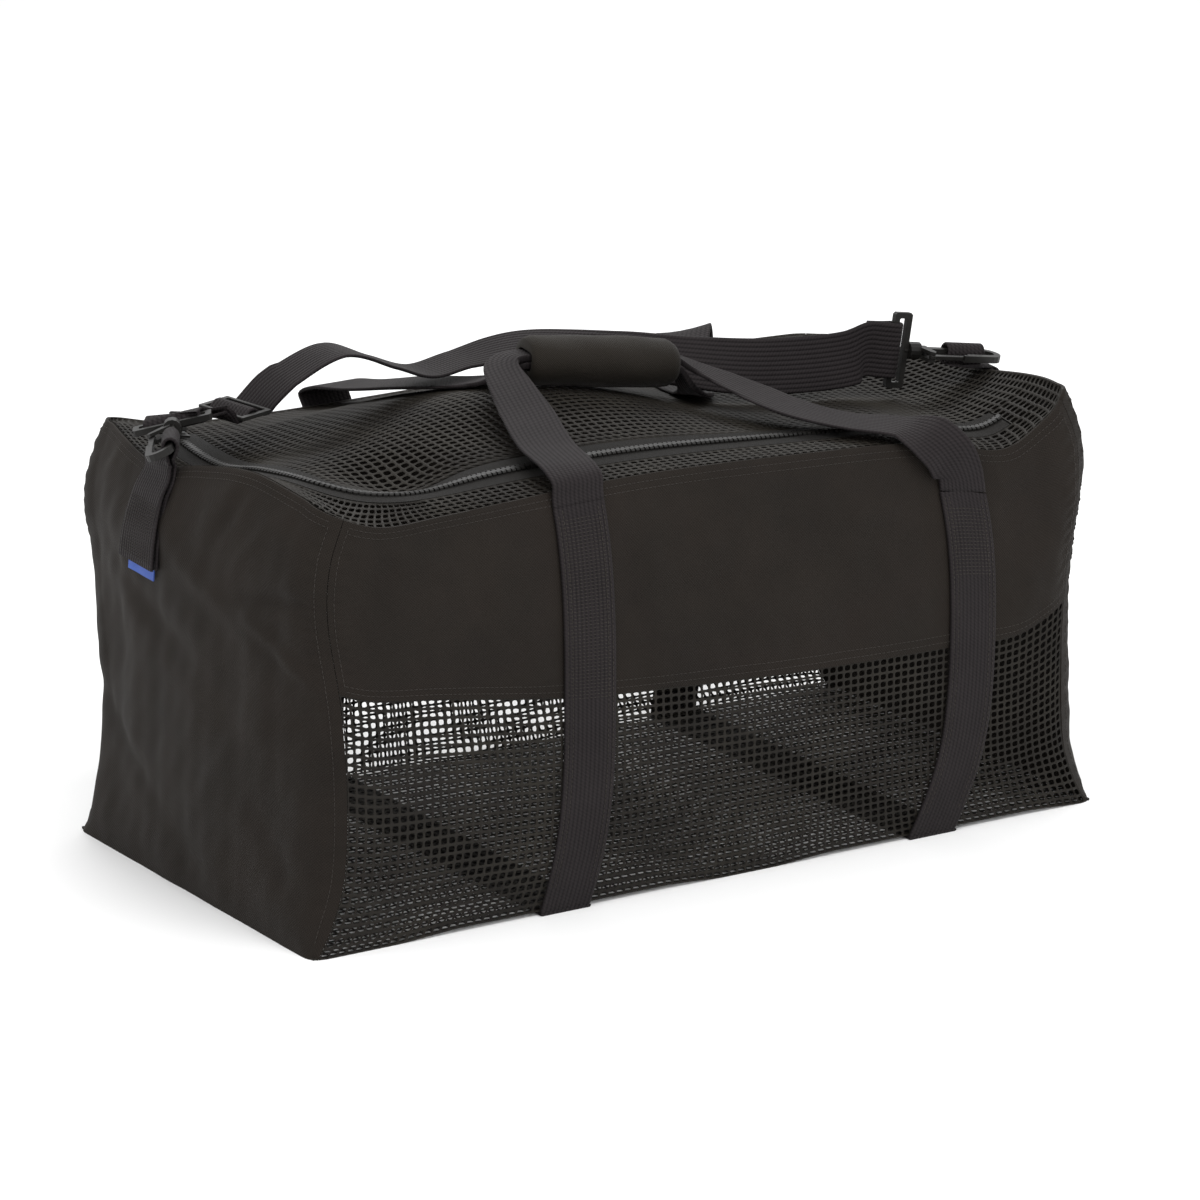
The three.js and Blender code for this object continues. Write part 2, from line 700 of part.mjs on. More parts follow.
// A flat band along rows that each give a middle, a width direction, a width, a thickness and a number of
// steps to the next row
function bandAlong(rows) {
  const curve = new THREE.CatmullRomCurve3(rows.map((row) => row.at), false, 'centripetal');
  const last = rows.length - 1;
  const points = [];
  rows.forEach((row, k) => {
    const steps = k < last ? row.steps : 1;
    for (let step = 0; step < steps; step += 1) {
      const share = step / steps;
      const t = (k + share) / last;
      const next = rows[Math.min(k + 1, last)];
      const at = curve.getPoint(t);
      const tangent = curve.getTangent(t);
      const wide = row.wide.clone().lerp(next.wide, share);
      if (!row.face) wide.addScaledVector(tangent, -wide.dot(tangent)).normalize();
      const face = row.face ?? tangent.clone().cross(wide).normalize();
      const width = THREE.MathUtils.lerp(row.width, next.width, share);
      const thick = THREE.MathUtils.lerp(row.thick, next.thick, share);
      points.push({ at, wide, face, width, thick });
    }
  });
  const pointAt = (i, j) => {
    const { at, wide, face, width, thick } = points[i];
    return { place: at.clone().addScaledVector(wide, width * (j - 0.5)), normal: face.clone().multiplyScalar(thick) };
  };
  return gridSolid(points.length, 2, pointAt, -0.5, 0.5);
}

// The legs of the carry straps are sewn flat on the long sides, leaning a little, and meet the straps
// that run under the bag
const seamStep = (2 * seamGap) / wallHeight;
const sideRows = netLines(sideNetHeight, netRows).map((row) => row * (1 - seamStep));
const legLean = [
  { row: 0, left: 0, right: 0 },
  { row: 0.5, left: 0.25, right: 0.5 },
  { row: 1, left: 0.32, right: 0.66 },
  { row: 1.5, left: 0.34, right: 0.63 },
  { row: 2, left: 0.26, right: 0.32 },
];
const legTops = { left: 1.92, right: 1.76 };
const handleFoot = 0.06;
const legOut = stitchGap + webThick / 2;
const strapX = { left: leftStrapX, right: rightStrapX };

function legPoint(side, hand, share, row) {
  const first = side === 'front' ? 0 : 2;
  const way = side === 'front' ? 1 : -1;
  const lean = row > 0 ? fromTable(legLean, 'row', hand, row) : legLean[0][hand];
  const target = strapX[hand] + (lean + way * share) * carryWidth;
  let place = first + 0.5;
  for (let k = 0; k < 6; k += 1) {
    const at = sidePoint(place, row);
    place += (way * (target - at.x)) / bagLength;
  }
  return { place: sidePoint(place, row), normal: normalOf(sidePoint, place, row) };
}

function buildLegs() {
  ['front', 'back'].forEach((side) => {
    ['left', 'right'].forEach((hand) => {
      const upper = [1 + seamStep, ...bandRows.slice(1, -1)].filter((row) => row < legTops[hand] - seamStep);
      const rows = [0, 0.06, ...sideRows.slice(1), ...upper, legTops[hand]];
      const pointAt = (i, j) => {
        const found = legPoint(side, hand, (i - 1) / 2, rows[j]);
        if (j === 0) found.place.z = webThick + seamGap;
        return found;
      };
      const solid = gridSolid(3, rows.length, pointAt, stitchGap, stitchGap + webThick);
      addPiece(`${side}_${hand}_leg`, solid, webBlack, 0.75);
    });
  });
  ['left', 'right'].forEach((hand) => {
    const reach = bagDepth / 2 + stitchGap + webThick;
    const middle = strapX[hand] + legLean[0][hand] * carryWidth;
    const strap = box(middle - carryWidth / 2, middle + carryWidth / 2, -reach, reach, 0, webThick);
    addPiece(`${hand}_under_strap`, strap, webBlack, 0.75);
  });
}

// The handles leave the legs at the rim, lie over the lid and run folded through the grip
const gripFrom = placeAt(-0.0754, 0.019, 1.122);
const gripTo = placeAt(0.0951, -0.035, 1.078);
const gripAxis = gripTo.clone().sub(gripFrom).normalize();
const gripSide = up.clone().cross(gripAxis).normalize();
const gripUp = gripAxis.clone().cross(gripSide);
const gripAt = (run) => gripFrom.clone().addScaledVector(gripAxis, run);

const handleRoutes = {
  front: {
    rising: [
      { along: -0.178, across: -0.506, rise: 1.003, turn: 90, width: 1, layers: 1, steps: 1 },
      { along: -0.177, across: -0.472, rise: 1.023, turn: 93, width: 1, layers: 1, steps: 2 },
      { along: -0.166, across: -0.349, rise: 1.04, turn: 102, width: 1, layers: 1, steps: 2 },
      { along: -0.145, across: -0.21, rise: 1.072, turn: 110, width: 0.96, layers: 1, steps: 2 },
      { along: -0.127, across: -0.085, rise: 1.106, turn: 112, width: 0.78, layers: 1, steps: 1 },
      { along: -0.112, across: -0.006, rise: 1.125, turn: 132, width: 0.6, layers: 1.4, steps: 1 },
      { along: -0.0965, across: 0.018, rise: 1.13, turn: 162, width: 0.5, layers: 2, steps: 1 },
    ],
    falling: [
      { along: 0.117, across: -0.06, rise: 1.066, turn: 218, width: 0.5, layers: 1.6, steps: 1 },
      { along: 0.134, across: -0.115, rise: 1.048, turn: 238, width: 0.7, layers: 1, steps: 2 },
      { along: 0.152, across: -0.197, rise: 1.026, turn: 240, width: 0.9, layers: 1, steps: 2 },
      { along: 0.171, across: -0.292, rise: 1.006, turn: 232, width: 1, layers: 1, steps: 2 },
      { along: 0.207, across: -0.378, rise: 0.988, turn: 224, width: 1, layers: 1, steps: 2 },
      { along: 0.246, across: -0.46, rise: 0.983, turn: 222, tilt: -5, width: 1, layers: 1, steps: 2 },
      { along: 0.272, across: -0.506, rise: 0.956, turn: 244, tilt: -37, width: 1, layers: 1, steps: 2 },
      { along: 0.292, across: -0.5165, rise: 0.909, turn: 266, tilt: -30, width: 1, layers: 1, steps: 1 },
    ],
  },
  back: {
    rising: [
      { along: -0.179, across: 0.515, rise: 0.962, turn: 90, width: 1, layers: 1, steps: 1 },
      { along: -0.178, across: 0.478, rise: 0.982, turn: 88, width: 1, layers: 1, steps: 2 },
      { along: -0.167, across: 0.38, rise: 1.0, turn: 80, width: 1, layers: 1, steps: 2 },
      { along: -0.14, across: 0.25, rise: 1.03, turn: 66, width: 1, layers: 1, steps: 2 },
      { along: -0.115, across: 0.155, rise: 1.046, turn: 64, width: 0.85, layers: 1, steps: 2 },
      { along: -0.101, across: 0.08, rise: 1.068, turn: 58, width: 0.6, layers: 1.4, steps: 1 },
      { along: -0.092, across: 0.036, rise: 1.1, turn: 36, width: 0.5, layers: 2, steps: 1 },
    ],
    falling: [
      { along: 0.11, across: -0.046, rise: 1.022, turn: -4, width: 0.5, layers: 1.8, steps: 1 },
      { along: 0.122, across: -0.034, rise: 0.999, turn: -24, width: 0.55, layers: 1.2, steps: 1 },
      { along: 0.143, across: 0.022, rise: 0.9755, turn: -50, width: 0.75, layers: 1, steps: 2 },
      { along: 0.166, across: 0.13, rise: 0.96, turn: -62, width: 0.95, layers: 1, steps: 2 },
      { along: 0.198, across: 0.27, rise: 0.952, turn: -66, width: 1, layers: 1, steps: 2 },
      { along: 0.252, across: 0.41, rise: 0.956, turn: -62, width: 1, layers: 1, steps: 2 },
      { along: 0.299, across: 0.52, rise: 0.958, turn: -80, width: 1, layers: 1, steps: 2 },
    ],
  },
};

function buildHandles() {
  const fold = foldedWidth / carryWidth;
  ['front', 'back'].forEach((side) => {
    const shown = side === 'front' ? 1 : -1;
    const layer = gripUp.clone().multiplyScalar((shown * (foldedThick + foldGap)) / 2);
    const routed = (row) => ({
      at: placeAt(row.along, row.across, row.rise),
      wide: widthWay(row.turn, row.tilt),
      width: row.width * carryWidth,
      thick: row.layers * webThick,
      steps: row.steps,
    });
    const flat = { width: carryWidth, thick: webThick, steps: 1 };
    const legEnd = (hand, way) => [seamStep, handleFoot].map((past, k) => {
      const row = legTops[hand] + past;
      const found = legPoint(side, hand, 0, row);
      const wide = legPoint(side, hand, 0.5, row).place.sub(legPoint(side, hand, -0.5, row).place).normalize();
      const at = found.place.addScaledVector(found.normal, legOut + 3 * k * stitchGap);
      return { at, wide: wide.multiplyScalar(way * shown), face: found.normal.multiplyScalar(-shown), ...flat };
    });
    const held = { wide: gripSide.clone().multiplyScalar(-shown), width: fold * carryWidth, thick: foldedThick, steps: 1 };
    const inGrip = [-gripRim, gripRim, gripLength / 2, gripLength - gripRim, gripLength + gripRim].map((run) => ({
      at: gripAt(run).add(layer),
      face: gripUp.clone().multiplyScalar(-shown),
      ...held,
    }));
    const rows = [
      ...legEnd('left', 1),
      ...handleRoutes[side].rising.map(routed),
      ...inGrip,
      ...handleRoutes[side].falling.map(routed),
      ...legEnd('right', -1).reverse(),
    ];
    addPiece(`${side}_handle`, bandAlong(rows), webBlack, 0.75);
  });

  const oval = (halfWide, halfHigh, count) =>
    spread(0, 2 * Math.PI, count).slice(0, -1).map(
      (angle) => new THREE.Vector2(halfHigh * Math.sin(angle), halfWide * Math.cos(angle)),
    );
  const outline = new THREE.Shape(oval(gripDepth / 2, gripHeight / 2, 18));
  const boreWide = foldedWidth / 2 + foldSide;
  const boreHigh = foldedThick + 1.5 * foldGap;
  const bore = [[-boreHigh, -boreWide], [boreHigh, -boreWide], [boreHigh, boreWide], [-boreHigh, boreWide]];
  outline.holes.push(new THREE.Path(bore.map(([x, y]) => new THREE.Vector2(x, y))));
  const sleeve = new THREE.ExtrudeGeometry(outline, { depth: gripLength, bevelEnabled: false });
  const basis = new THREE.Matrix4().makeBasis(gripUp, gripAxis.clone().cross(gripUp), gripAxis);
  basis.setPosition(gripFrom);
  addPiece('handle_grip', sleeve.applyMatrix4(basis), clothBlack, 0.85);
}

// Snap hooks. In each hook's own frame the first axis runs from its loop to its tip, and the second from the
// arm that holds the tab to the arm that the gate closes
const rightAxis = new THREE.Vector3(0.983, -0.03, -0.16).normalize();
const leftAxis = new THREE.Vector3(-0.5, -0.865, 0.03).normalize();
const hooks = {
  right: {
    frame: frameFrom(placeAt(0.39, -0.046, 1.024), rightAxis, new THREE.Vector3(0, -0.98, -0.1)),
    loopWay: new THREE.Vector3(0.16, 0, 0.98),
  },
  left: {
    frame: frameFrom(placeAt(-0.458, 0.191, 1.044), leftAxis, new THREE.Vector3(-0.8, 0.46, -0.4)),
    loopWay: new THREE.Vector3(0.76, -0.6, 0.22),
  },
};

const barrelFrom = loopDepth / 2 + runGap;
const barrelTo = barrelFrom + barrelLength;
const pivotRun = barrelTo + gateBar;
const armStep = hookThroat + hookBar;
const noseFrom = pivotRun + gateLength;
const gateAcross = armStep - 0.2;

function polygon(points) {
  return new THREE.Shape(points.map(([x, y]) => new THREE.Vector2(x, y)));
}

function slab(points, thick) {
  const geometry = new THREE.ExtrudeGeometry(polygon(points), { depth: thick, bevelEnabled: false });
  return geometry.translate(0, 0, -thick / 2);
}

function arcPoints(middleX, middleY, radius, from, to, steps) {
  return spread(from, to, steps).map((angle) => [
    middleX + radius * Math.cos(angle),
    middleY + radius * Math.sin(angle),
  ]);
}

function hookBody() {
  const half = hookBar / 2;
  const quarter = Math.PI / 2;
  const outerRadius = armStep / 2 + half;
  const bend = hookReach - outerRadius;
  const innerRadius = hookThroat / 2;
  const middle = armStep / 2;
  const points = [
    [barrelTo - 1, -half],
    ...arcPoints(bend, middle, outerRadius, -quarter, quarter, 8),
    [noseFrom, armStep + half],
    [noseFrom, armStep + 0.3],
    [noseFrom + noseLip, armStep + 0.3],
    [noseFrom + noseLip, armStep - half],
    ...arcPoints(hookReach - hookBar - innerRadius, middle, innerRadius, quarter, -quarter, 6),
    [barrelTo + 2 * gateBar, half],
    [barrelTo + gateBar, barrelRadius - half],
    [barrelTo - 1, barrelRadius - half],
  ];
  const ring = slab(points, hookBar);
  const barrel = new THREE.CylinderGeometry(barrelRadius, barrelRadius, barrelLength, 14);
  barrel.rotateZ(-quarter).translate((barrelFrom + barrelTo) / 2, 0, 0);
  const bore = new THREE.CylinderGeometry(studRadius + runGap, studRadius + runGap, barrelLength, 12);
  bore.rotateZ(-quarter).translate((barrelFrom + barrelTo) / 2 - 2 * runGap - 1, 0, 0);
  const cheek = [
    [barrelTo - 1.5, 0],
    [pivotRun + gateBar * 0.6, 0],
    [pivotRun + gateBar * 0.75, gateAcross],
    [pivotRun, gateAcross + gateBar * 0.75],
    [pivotRun - gateBar * 0.75, gateAcross],
    [barrelTo - 1.5, barrelRadius * 0.8],
  ];
  const cheekOut = gateThick / 2 + runGap + cheekThick / 2;
  const near = slab(cheek, cheekThick).translate(0, 0, cheekOut);
  const far = slab(cheek, cheekThick).translate(0, 0, -cheekOut);
  const pin = new THREE.CylinderGeometry(pinRadius, pinRadius, 2 * cheekOut, 12);
  pin.rotateX(quarter).translate(pivotRun, gateAcross, 0);
  const solid = [ring, barrel, near, far, pin].map(toSolid).reduce((whole, piece) => whole.add(piece));
  return fromSolid(solid.subtract(toSolid(bore)));
}

function gateBody() {
  const half = gateBar / 2;
  const round = arcPoints(pivotRun, gateAcross, gateBar * 0.8, Math.PI / 3, (5 * Math.PI) / 3, 8);
  const points = [
    ...round,
    [noseFrom + noseLip - runGap, gateAcross - half],
    [noseFrom + noseLip - runGap, armStep - runGap],
    [noseFrom - runGap, armStep - runGap],
    [noseFrom - 1.5 * runGap, gateAcross + half],
  ];
  const lever = slab(points, gateThick);
  const bore = new THREE.CylinderGeometry(pinRadius + runGap, pinRadius + runGap, 2 * gateThick, 12);
  bore.rotateX(Math.PI / 2).translate(pivotRun, gateAcross, 0);
  return fromSolid(toSolid(lever).subtract(toSolid(bore)));
}

const loopLength = shoulderWidth + 2 * (loopBar + loopSpare);

function loopBody() {
  const long = loopLength / 2;
  const deep = loopDepth / 2;
  const trim = loopBar * 0.35;
  const frame = (x, y, cut) => [
    [-x, cut - y], [cut - x, -y], [x - cut, -y], [x, cut - y], [x, y - cut], [x - cut, y], [cut - x, y], [-x, y - cut],
  ];
  const outline = polygon(frame(deep, long, trim));
  const window = frame(deep - loopBar, long - loopBar, trim / 2);
  outline.holes.push(new THREE.Path(window.map(([x, y]) => new THREE.Vector2(x, y))));
  const ring = new THREE.ExtrudeGeometry(outline, { depth: loopBar, bevelEnabled: false });
  ring.translate(0, 0, -loopBar / 2);
  const studLength = barrelLength - 2 * runGap;
  const stud = new THREE.CylinderGeometry(studRadius, studRadius, studLength, 12);
  stud.rotateZ(-Math.PI / 2).translate(deep - 2 * runGap - 2 + studLength / 2, 0, 0);
  return joined(ring, stud);
}

function placeOf(frame) {
  return new THREE.Vector3().setFromMatrixPosition(frame);
}

function axesOf(frame) {
  const axes = [new THREE.Vector3(), new THREE.Vector3(), new THREE.Vector3()];
  frame.extractBasis(...axes);
  return axes;
}

function loopFrameOf(hand) {
  const { frame, loopWay } = hooks[hand];
  return frameFrom(placeOf(frame), axesOf(frame)[0], loopWay);
}

function buildHooks() {
  ['left', 'right'].forEach((hand) => {
    const { frame } = hooks[hand];
    addPiece(`${hand}_loop`, loopBody().applyMatrix4(loopFrameOf(hand)), plasticBlack, 0.4);
    addPiece(`${hand}_hook`, hookBody().applyMatrix4(frame), plasticBlack, 0.4);
    addPiece(`${hand}_gate`, gateBody().applyMatrix4(frame), plasticBlack, 0.4);
  });
}

// The tabs are webbing folded round a hook's arm, with both layers sewn one on the other to the end panel
const tabRoutes = {
  left: [
    { row: 1.45, across: 0.085, width: 1 },
    { row: 1.62, across: 0.08, width: 0.98 },
    { row: 1.84, across: 0.072, width: 0.92 },
    { row: 1.96, across: 0.066, width: 0.84 },
  ],
  right: [
    { row: 1.5, across: -0.03, width: 1 },
    { row: 1.62, across: -0.031, width: 0.97 },
    { row: 1.84, across: -0.033, width: 0.88 },
    { row: 1.96, across: -0.035, width: 0.78 },
  ],
};
const tabNecks = {
  left: [
    { share: 0.1, turn: 184, width: 0.8, drop: 0.016 },
    { share: 0.55, turn: 197, width: 0.7, drop: 0.005 },
  ],
  right: [
    { share: 0.08, turn: 6, width: 0.72, drop: 0.01 },
    { share: 0.5, turn: 42, width: 0.66, drop: 0.004 },
  ],
};
const pairOut = (webThick + tabPinch) / 2;

function endPlace(hand, across, height) {
  const target = bagDepth * across;
  const way = hand === 'right' ? 1 : -1;
  let place = hand === 'right' ? 1.5 : 3.5;
  for (let k = 0; k < 6; k += 1) place += (way * (target - wallPoint(place, height).y)) / bagDepth;
  return place;
}

function endHeight(hand, row) {
  const seam = seamShare(hand === 'right' ? 1 : 3);
  return seam + (1 - seam) * (row - 1);
}

function tabBody(hand) {
  const { frame } = hooks[hand];
  const [along] = axesOf(frame);
  const middle = placeOf(frame).addScaledVector(along, tabMiddle);
  const outward = along.clone().cross(up).normalize();
  const rise = outward.clone().cross(along).normalize();
  const ringOut = (hookBar / 2) * Math.SQRT2 + runGap + webThick / 2;
  const pair = tabRoutes[hand].map((row) => {
    const height = endHeight(hand, row.row);
    const place = endPlace(hand, row.across, height);
    const normal = normalOf(wallPoint, place, height);
    const lean = row.row > 1.7 ? 3 * stitchGap : stitchGap;
    const at = wallPoint(place, height).addScaledVector(normal, lean + webThick + tabPinch / 2);
    return { at, out: normal, wide: up.clone().cross(normal).normalize(), width: row.width * tabWidth };
  });
  const top = pair.at(-1).at.clone();
  const foot = middle.clone().addScaledVector(rise, -tabLoopRise - webThick);
  tabNecks[hand].forEach((row) => {
    const wide = widthWay(row.turn);
    const at = top.clone().lerp(foot, row.share);
    at.z = foot.z - row.drop * wallHeight;
    const out = wide.clone().cross(up).normalize();
    pair.push({ at, out, wide, width: row.width * tabWidth });
  });
  pair.push({ at: foot, out: outward, wide: along, width: tabTopWidth });
  const rows = pair.map(({ at, out, wide, width }) => ({
    at: at.clone().addScaledVector(out, pairOut),
    face: out.clone().negate(),
    wide,
    width,
  }));
  const turns = spread(-0.12, 1.12, 8).map((share) => share * Math.PI);
  turns.forEach((angle) => {
    const radial = outward.clone().multiplyScalar(Math.cos(angle)).addScaledVector(rise, Math.sin(angle));
    const at = middle.clone().addScaledVector(outward, ringOut * Math.cos(angle));
    at.addScaledVector(rise, tabLoopRise * Math.sin(angle));
    rows.push({ at, face: radial.negate(), wide: along, width: tabTopWidth });
  });
  pair.reverse().forEach(({ at, out, wide, width }) => {
    rows.push({ at: at.clone().addScaledVector(out, -pairOut), face: out.clone(), wide, width });
  });
  const pointAt = (i, j) => {
    const { at, face, wide, width } = rows[i];
    return { place: at.clone().addScaledVector(wide, width * (j - 0.5)), normal: face };
  };
  return gridSolid(rows.length, 2, pointAt, -webThick / 2, webThick / 2);
}

function buildTabs() {
  ['left', 'right'].forEach((hand) => addPiece(`${hand}_tab`, tabBody(hand), webBlack, 0.75));
  const foot = tabRoutes.left[0];
  const height = endHeight('left', foot.row);
  const place = endPlace('left', foot.across, height);
  const normal = normalOf(wallPoint, place, height);
  const wide = up.clone().cross(normal).normalize();
  const down = wide.clone().cross(normal);
  const labelTop = wallPoint(place, height).addScaledVector(down, seamGap);
  const pointAt = (i, j) => ({
    place: labelTop.clone().addScaledVector(wide, labelWidth * (i - 0.5)).addScaledVector(down, labelDrop * (1 - j)),
    normal,
  });
  const label = gridSolid(2, 2, pointAt, stitchGap, stitchGap + labelThick);
  addPiece('tab_label', label, labelBlue, 0.6);
}

// The shoulder strap is wrapped round both loops' bars, stands on edge at the right, arches up at the left
// and is threaded through the slider there
const strapRoute = [
  { along: 0.33, across: -0.046, rise: 1.024, turn: 20, tilt: 82, steps: 2 },
  { along: 0.22, across: -0.015, rise: 1.026, turn: 4, tilt: 74, steps: 2 },
  { along: 0.135, across: 0.04, rise: 1.05, turn: 0, tilt: 50, steps: 2 },
  { along: 0.07, across: 0.105, rise: 1.078, turn: 0, tilt: 32, steps: 2 },
  { along: -0.03, across: 0.172, rise: 1.106, turn: 0, tilt: 14, steps: 2 },
  { along: -0.1, across: 0.2, rise: 1.085, turn: 0, tilt: 2, steps: 2 },
  { along: -0.15, across: 0.2, rise: 1.072, turn: 0, tilt: 0, steps: 2 },
  { along: -0.2, across: 0.192, rise: 1.11, turn: 0, tilt: 0, steps: 2 },
  { along: -0.262, across: 0.186, rise: 1.158, turn: 0, tilt: 0, steps: 2 },
  { along: -0.315, across: 0.2, rise: 1.114, turn: -3, tilt: 0, steps: 2 },
  { along: -0.334, across: 0.22, rise: 1.078, turn: -7, tilt: 0, steps: 1 },
];
const glidePlace = placeAt(-0.371, 0.23, 1.042);
const glideTurn = -9;
const glideSlope = 4;

function wrapRows(hand, barWay, outSide) {
  // Half a turn round the loop's inner bar, from one side of the loop's plane to the other
  const frame = loopFrameOf(hand);
  const [along, long, face] = axesOf(frame);
  const bar = placeOf(frame).addScaledVector(along, -(loopDepth - loopBar) / 2);
  const radius = (loopBar / 2) * Math.SQRT2 + runGap + webThick / 2;
  return spread(-0.5, 0.5, 6).map((share) => {
    const angle = share * Math.PI;
    const at = bar.clone().addScaledVector(along, radius * Math.cos(angle));
    at.addScaledVector(face, outSide * radius * Math.sin(angle));
    return { at, wide: long.clone().multiplyScalar(barWay), width: shoulderWidth, thick: webThick, steps: 1 };
  });
}

function buildShoulderStrap() {
  const common = { width: shoulderWidth, thick: webThick };
  const tail = (hand, barWay, side) => {
    const [along, long, face] = axesOf(loopFrameOf(hand));
    const bar = placeOf(loopFrameOf(hand)).addScaledVector(along, -(loopDepth - loopBar) / 2);
    const away = hand === 'left' ? glidePlace.clone().sub(bar).normalize() : along.clone().negate();
    const near = (loopBar / 2) * Math.SQRT2 + runGap + webThick / 2;
    const closed = (webThick + tabPinch) / 2;
    return [
      { run: foldBack, out: closed },
      { run: foldBack * 0.45, out: closed + 0.6 },
      { run: loopBar * 0.5, out: near },
    ].map(({ run, out }) => ({
      at: bar.clone().addScaledVector(away, run).addScaledVector(face, side * out),
      wide: long.clone().multiplyScalar(barWay),
      face: face.clone().multiplyScalar(-side),
      steps: 1,
      ...common,
    }));
  };
  const route = strapRoute.map((row) => ({
    at: placeAt(row.along, row.across, row.rise),
    wide: widthWay(row.turn, row.tilt),
    steps: row.steps,
    ...common,
  }));
  const glideWide = widthWay(glideTurn);
  const glideAlong = widthWay(glideTurn - 90, -glideSlope);
  const glideUp = glideWide.clone().cross(glideAlong).normalize();
  const weave = (glideBar + webThick) / 2 + runGap;
  const flat = glideBar / 2 + runGap;
  const glideRows = [
    [-glideStep - flat, -1],
    [-glideStep + flat, -1],
    [-flat, 1],
    [flat, 1],
    [glideStep - flat, -1],
    [glideStep + flat, -1],
  ].map(([run, side]) => ({
    at: glidePlace.clone().addScaledVector(glideAlong, run).addScaledVector(glideUp, side * weave),
    wide: glideWide,
    face: glideUp.clone().negate(),
    steps: 1,
    ...common,
  }));
  const rows = [
    ...tail('right', 1, -1),
    ...wrapRows('right', 1, 1),
    ...tail('right', 1, 1).reverse(),
    ...route,
    ...glideRows,
    ...tail('left', -1, 1),
    ...wrapRows('left', -1, -1),
    ...tail('left', -1, -1).reverse(),
  ];
  addPiece('shoulder_strap', bandAlong(rows), webBlack, 0.75);

  const wide = shoulderWidth / 2 + runGap + glideRim;
  const long = glideStep + glideBar / 2;
  const half = glideBar / 2;
  const slots = [-1, 1].map((way) => {
    const ends = [way * half, way * (glideStep - half)].sort((a, b) => a - b);
    return toSolid(box(ends[0], ends[1], glideRim - wide, wide - glideRim, -glideBar, glideBar));
  });
  const plate = toSolid(box(-long, long, -wide, wide, -half, half));
  const glide = fromSolid(slots.reduce((whole, slot) => whole.subtract(slot), plate));
  const frame = frameFrom(glidePlace, glideAlong, glideWide.clone().negate());
  addPiece('tri_glide', glide.applyMatrix4(frame), plasticBlack, 0.4);
}

buildWalls();
buildBase();
buildRimNets();
buildLid();
buildZip();
buildSlider();
buildLegs();
buildHandles();
buildHooks();
buildTabs();
buildShoulderStrap();

export default bag;
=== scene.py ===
import math

import bpy
import numpy as np
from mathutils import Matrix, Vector


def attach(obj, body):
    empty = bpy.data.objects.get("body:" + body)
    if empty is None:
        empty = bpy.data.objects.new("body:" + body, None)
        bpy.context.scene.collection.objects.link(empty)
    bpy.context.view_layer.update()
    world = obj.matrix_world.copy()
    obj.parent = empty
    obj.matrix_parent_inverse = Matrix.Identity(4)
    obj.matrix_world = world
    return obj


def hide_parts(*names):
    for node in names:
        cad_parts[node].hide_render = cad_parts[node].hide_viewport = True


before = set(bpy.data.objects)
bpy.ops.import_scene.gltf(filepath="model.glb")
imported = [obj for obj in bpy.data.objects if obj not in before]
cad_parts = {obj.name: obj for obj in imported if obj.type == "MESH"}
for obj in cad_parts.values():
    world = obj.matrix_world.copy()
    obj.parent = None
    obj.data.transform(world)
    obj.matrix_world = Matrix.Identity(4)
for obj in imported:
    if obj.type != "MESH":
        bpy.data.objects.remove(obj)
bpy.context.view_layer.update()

# Camera and studio
# The bag stands on a plain pale floor. One broad soft light hangs above the front,
# a weaker one fills from the left and a strip behind draws the edges of the black cloth.
CAMERA_AZIMUTH = -32.23
CAMERA_ELEVATION = 16.54
CAMERA_DISTANCE = 4.4052
CAMERA_TARGET = Vector((0.0088, 0.0, 0.149))
CAMERA_LENS = 198.2
FLOOR_HALF = 14.0


def srgb(value):
    """A hex colour as Blender's linear one"""
    parts = [(value >> shift & 255) / 255 for shift in (16, 8, 0)]
    return tuple(p / 12.92 if p <= 0.04045 else ((p + 0.055) / 1.055) ** 2.4 for p in parts) + (1.0,)


def add_node(tree, kind, settings=None, links=None):
    """One node with its settings, by property or input, and its links from (node, output)"""
    node = tree.nodes.new(kind)
    for key, value in (settings or {}).items():
        if isinstance(key, str) and hasattr(node, key):
            setattr(node, key, value)
        else:
            node.inputs[key].default_value = value
    for key, (source, output) in (links or {}).items():
        tree.links.new(source.outputs[output], node.inputs[key])
    return node


def empty_material(name):
    """A material without nodes, and its node tree"""
    material = bpy.data.materials.new(name)
    material.use_nodes = True
    material.node_tree.nodes.clear()
    return material, material.node_tree


def view_vector(azimuth, elevation):
    a, e = math.radians(azimuth), math.radians(elevation)
    return Vector((math.sin(a) * math.cos(e), -math.cos(a) * math.cos(e), math.sin(e)))


camera = bpy.data.objects.new("camera", bpy.data.cameras.new("camera"))
bpy.context.scene.collection.objects.link(camera)
camera.location = CAMERA_TARGET + CAMERA_DISTANCE * view_vector(CAMERA_AZIMUTH, CAMERA_ELEVATION)
camera.rotation_euler = (CAMERA_TARGET - camera.location).to_track_quat("-Z", "Y").to_euler()
camera.data.lens = CAMERA_LENS
camera.data.sensor_width = 36.0
camera.data.clip_end = 50.0
bpy.context.scene.camera = camera

paper, tree = empty_material("white_paper")
grain = add_node(tree, "ShaderNodeTexNoise", {"Scale": 3.0, "Detail": 2.0})
tone = add_node(tree, "ShaderNodeMapRange", {"To Min": 0.9, "To Max": 0.93}, {"Value": (grain, "Fac")})
matt = {"Roughness": 0.85, "Specular IOR Level": 0.2}
sheet = add_node(tree, "ShaderNodeBsdfPrincipled", matt, {"Base Color": (tone, "Result")})
add_node(tree, "ShaderNodeOutputMaterial", {}, {"Surface": (sheet, "BSDF")})

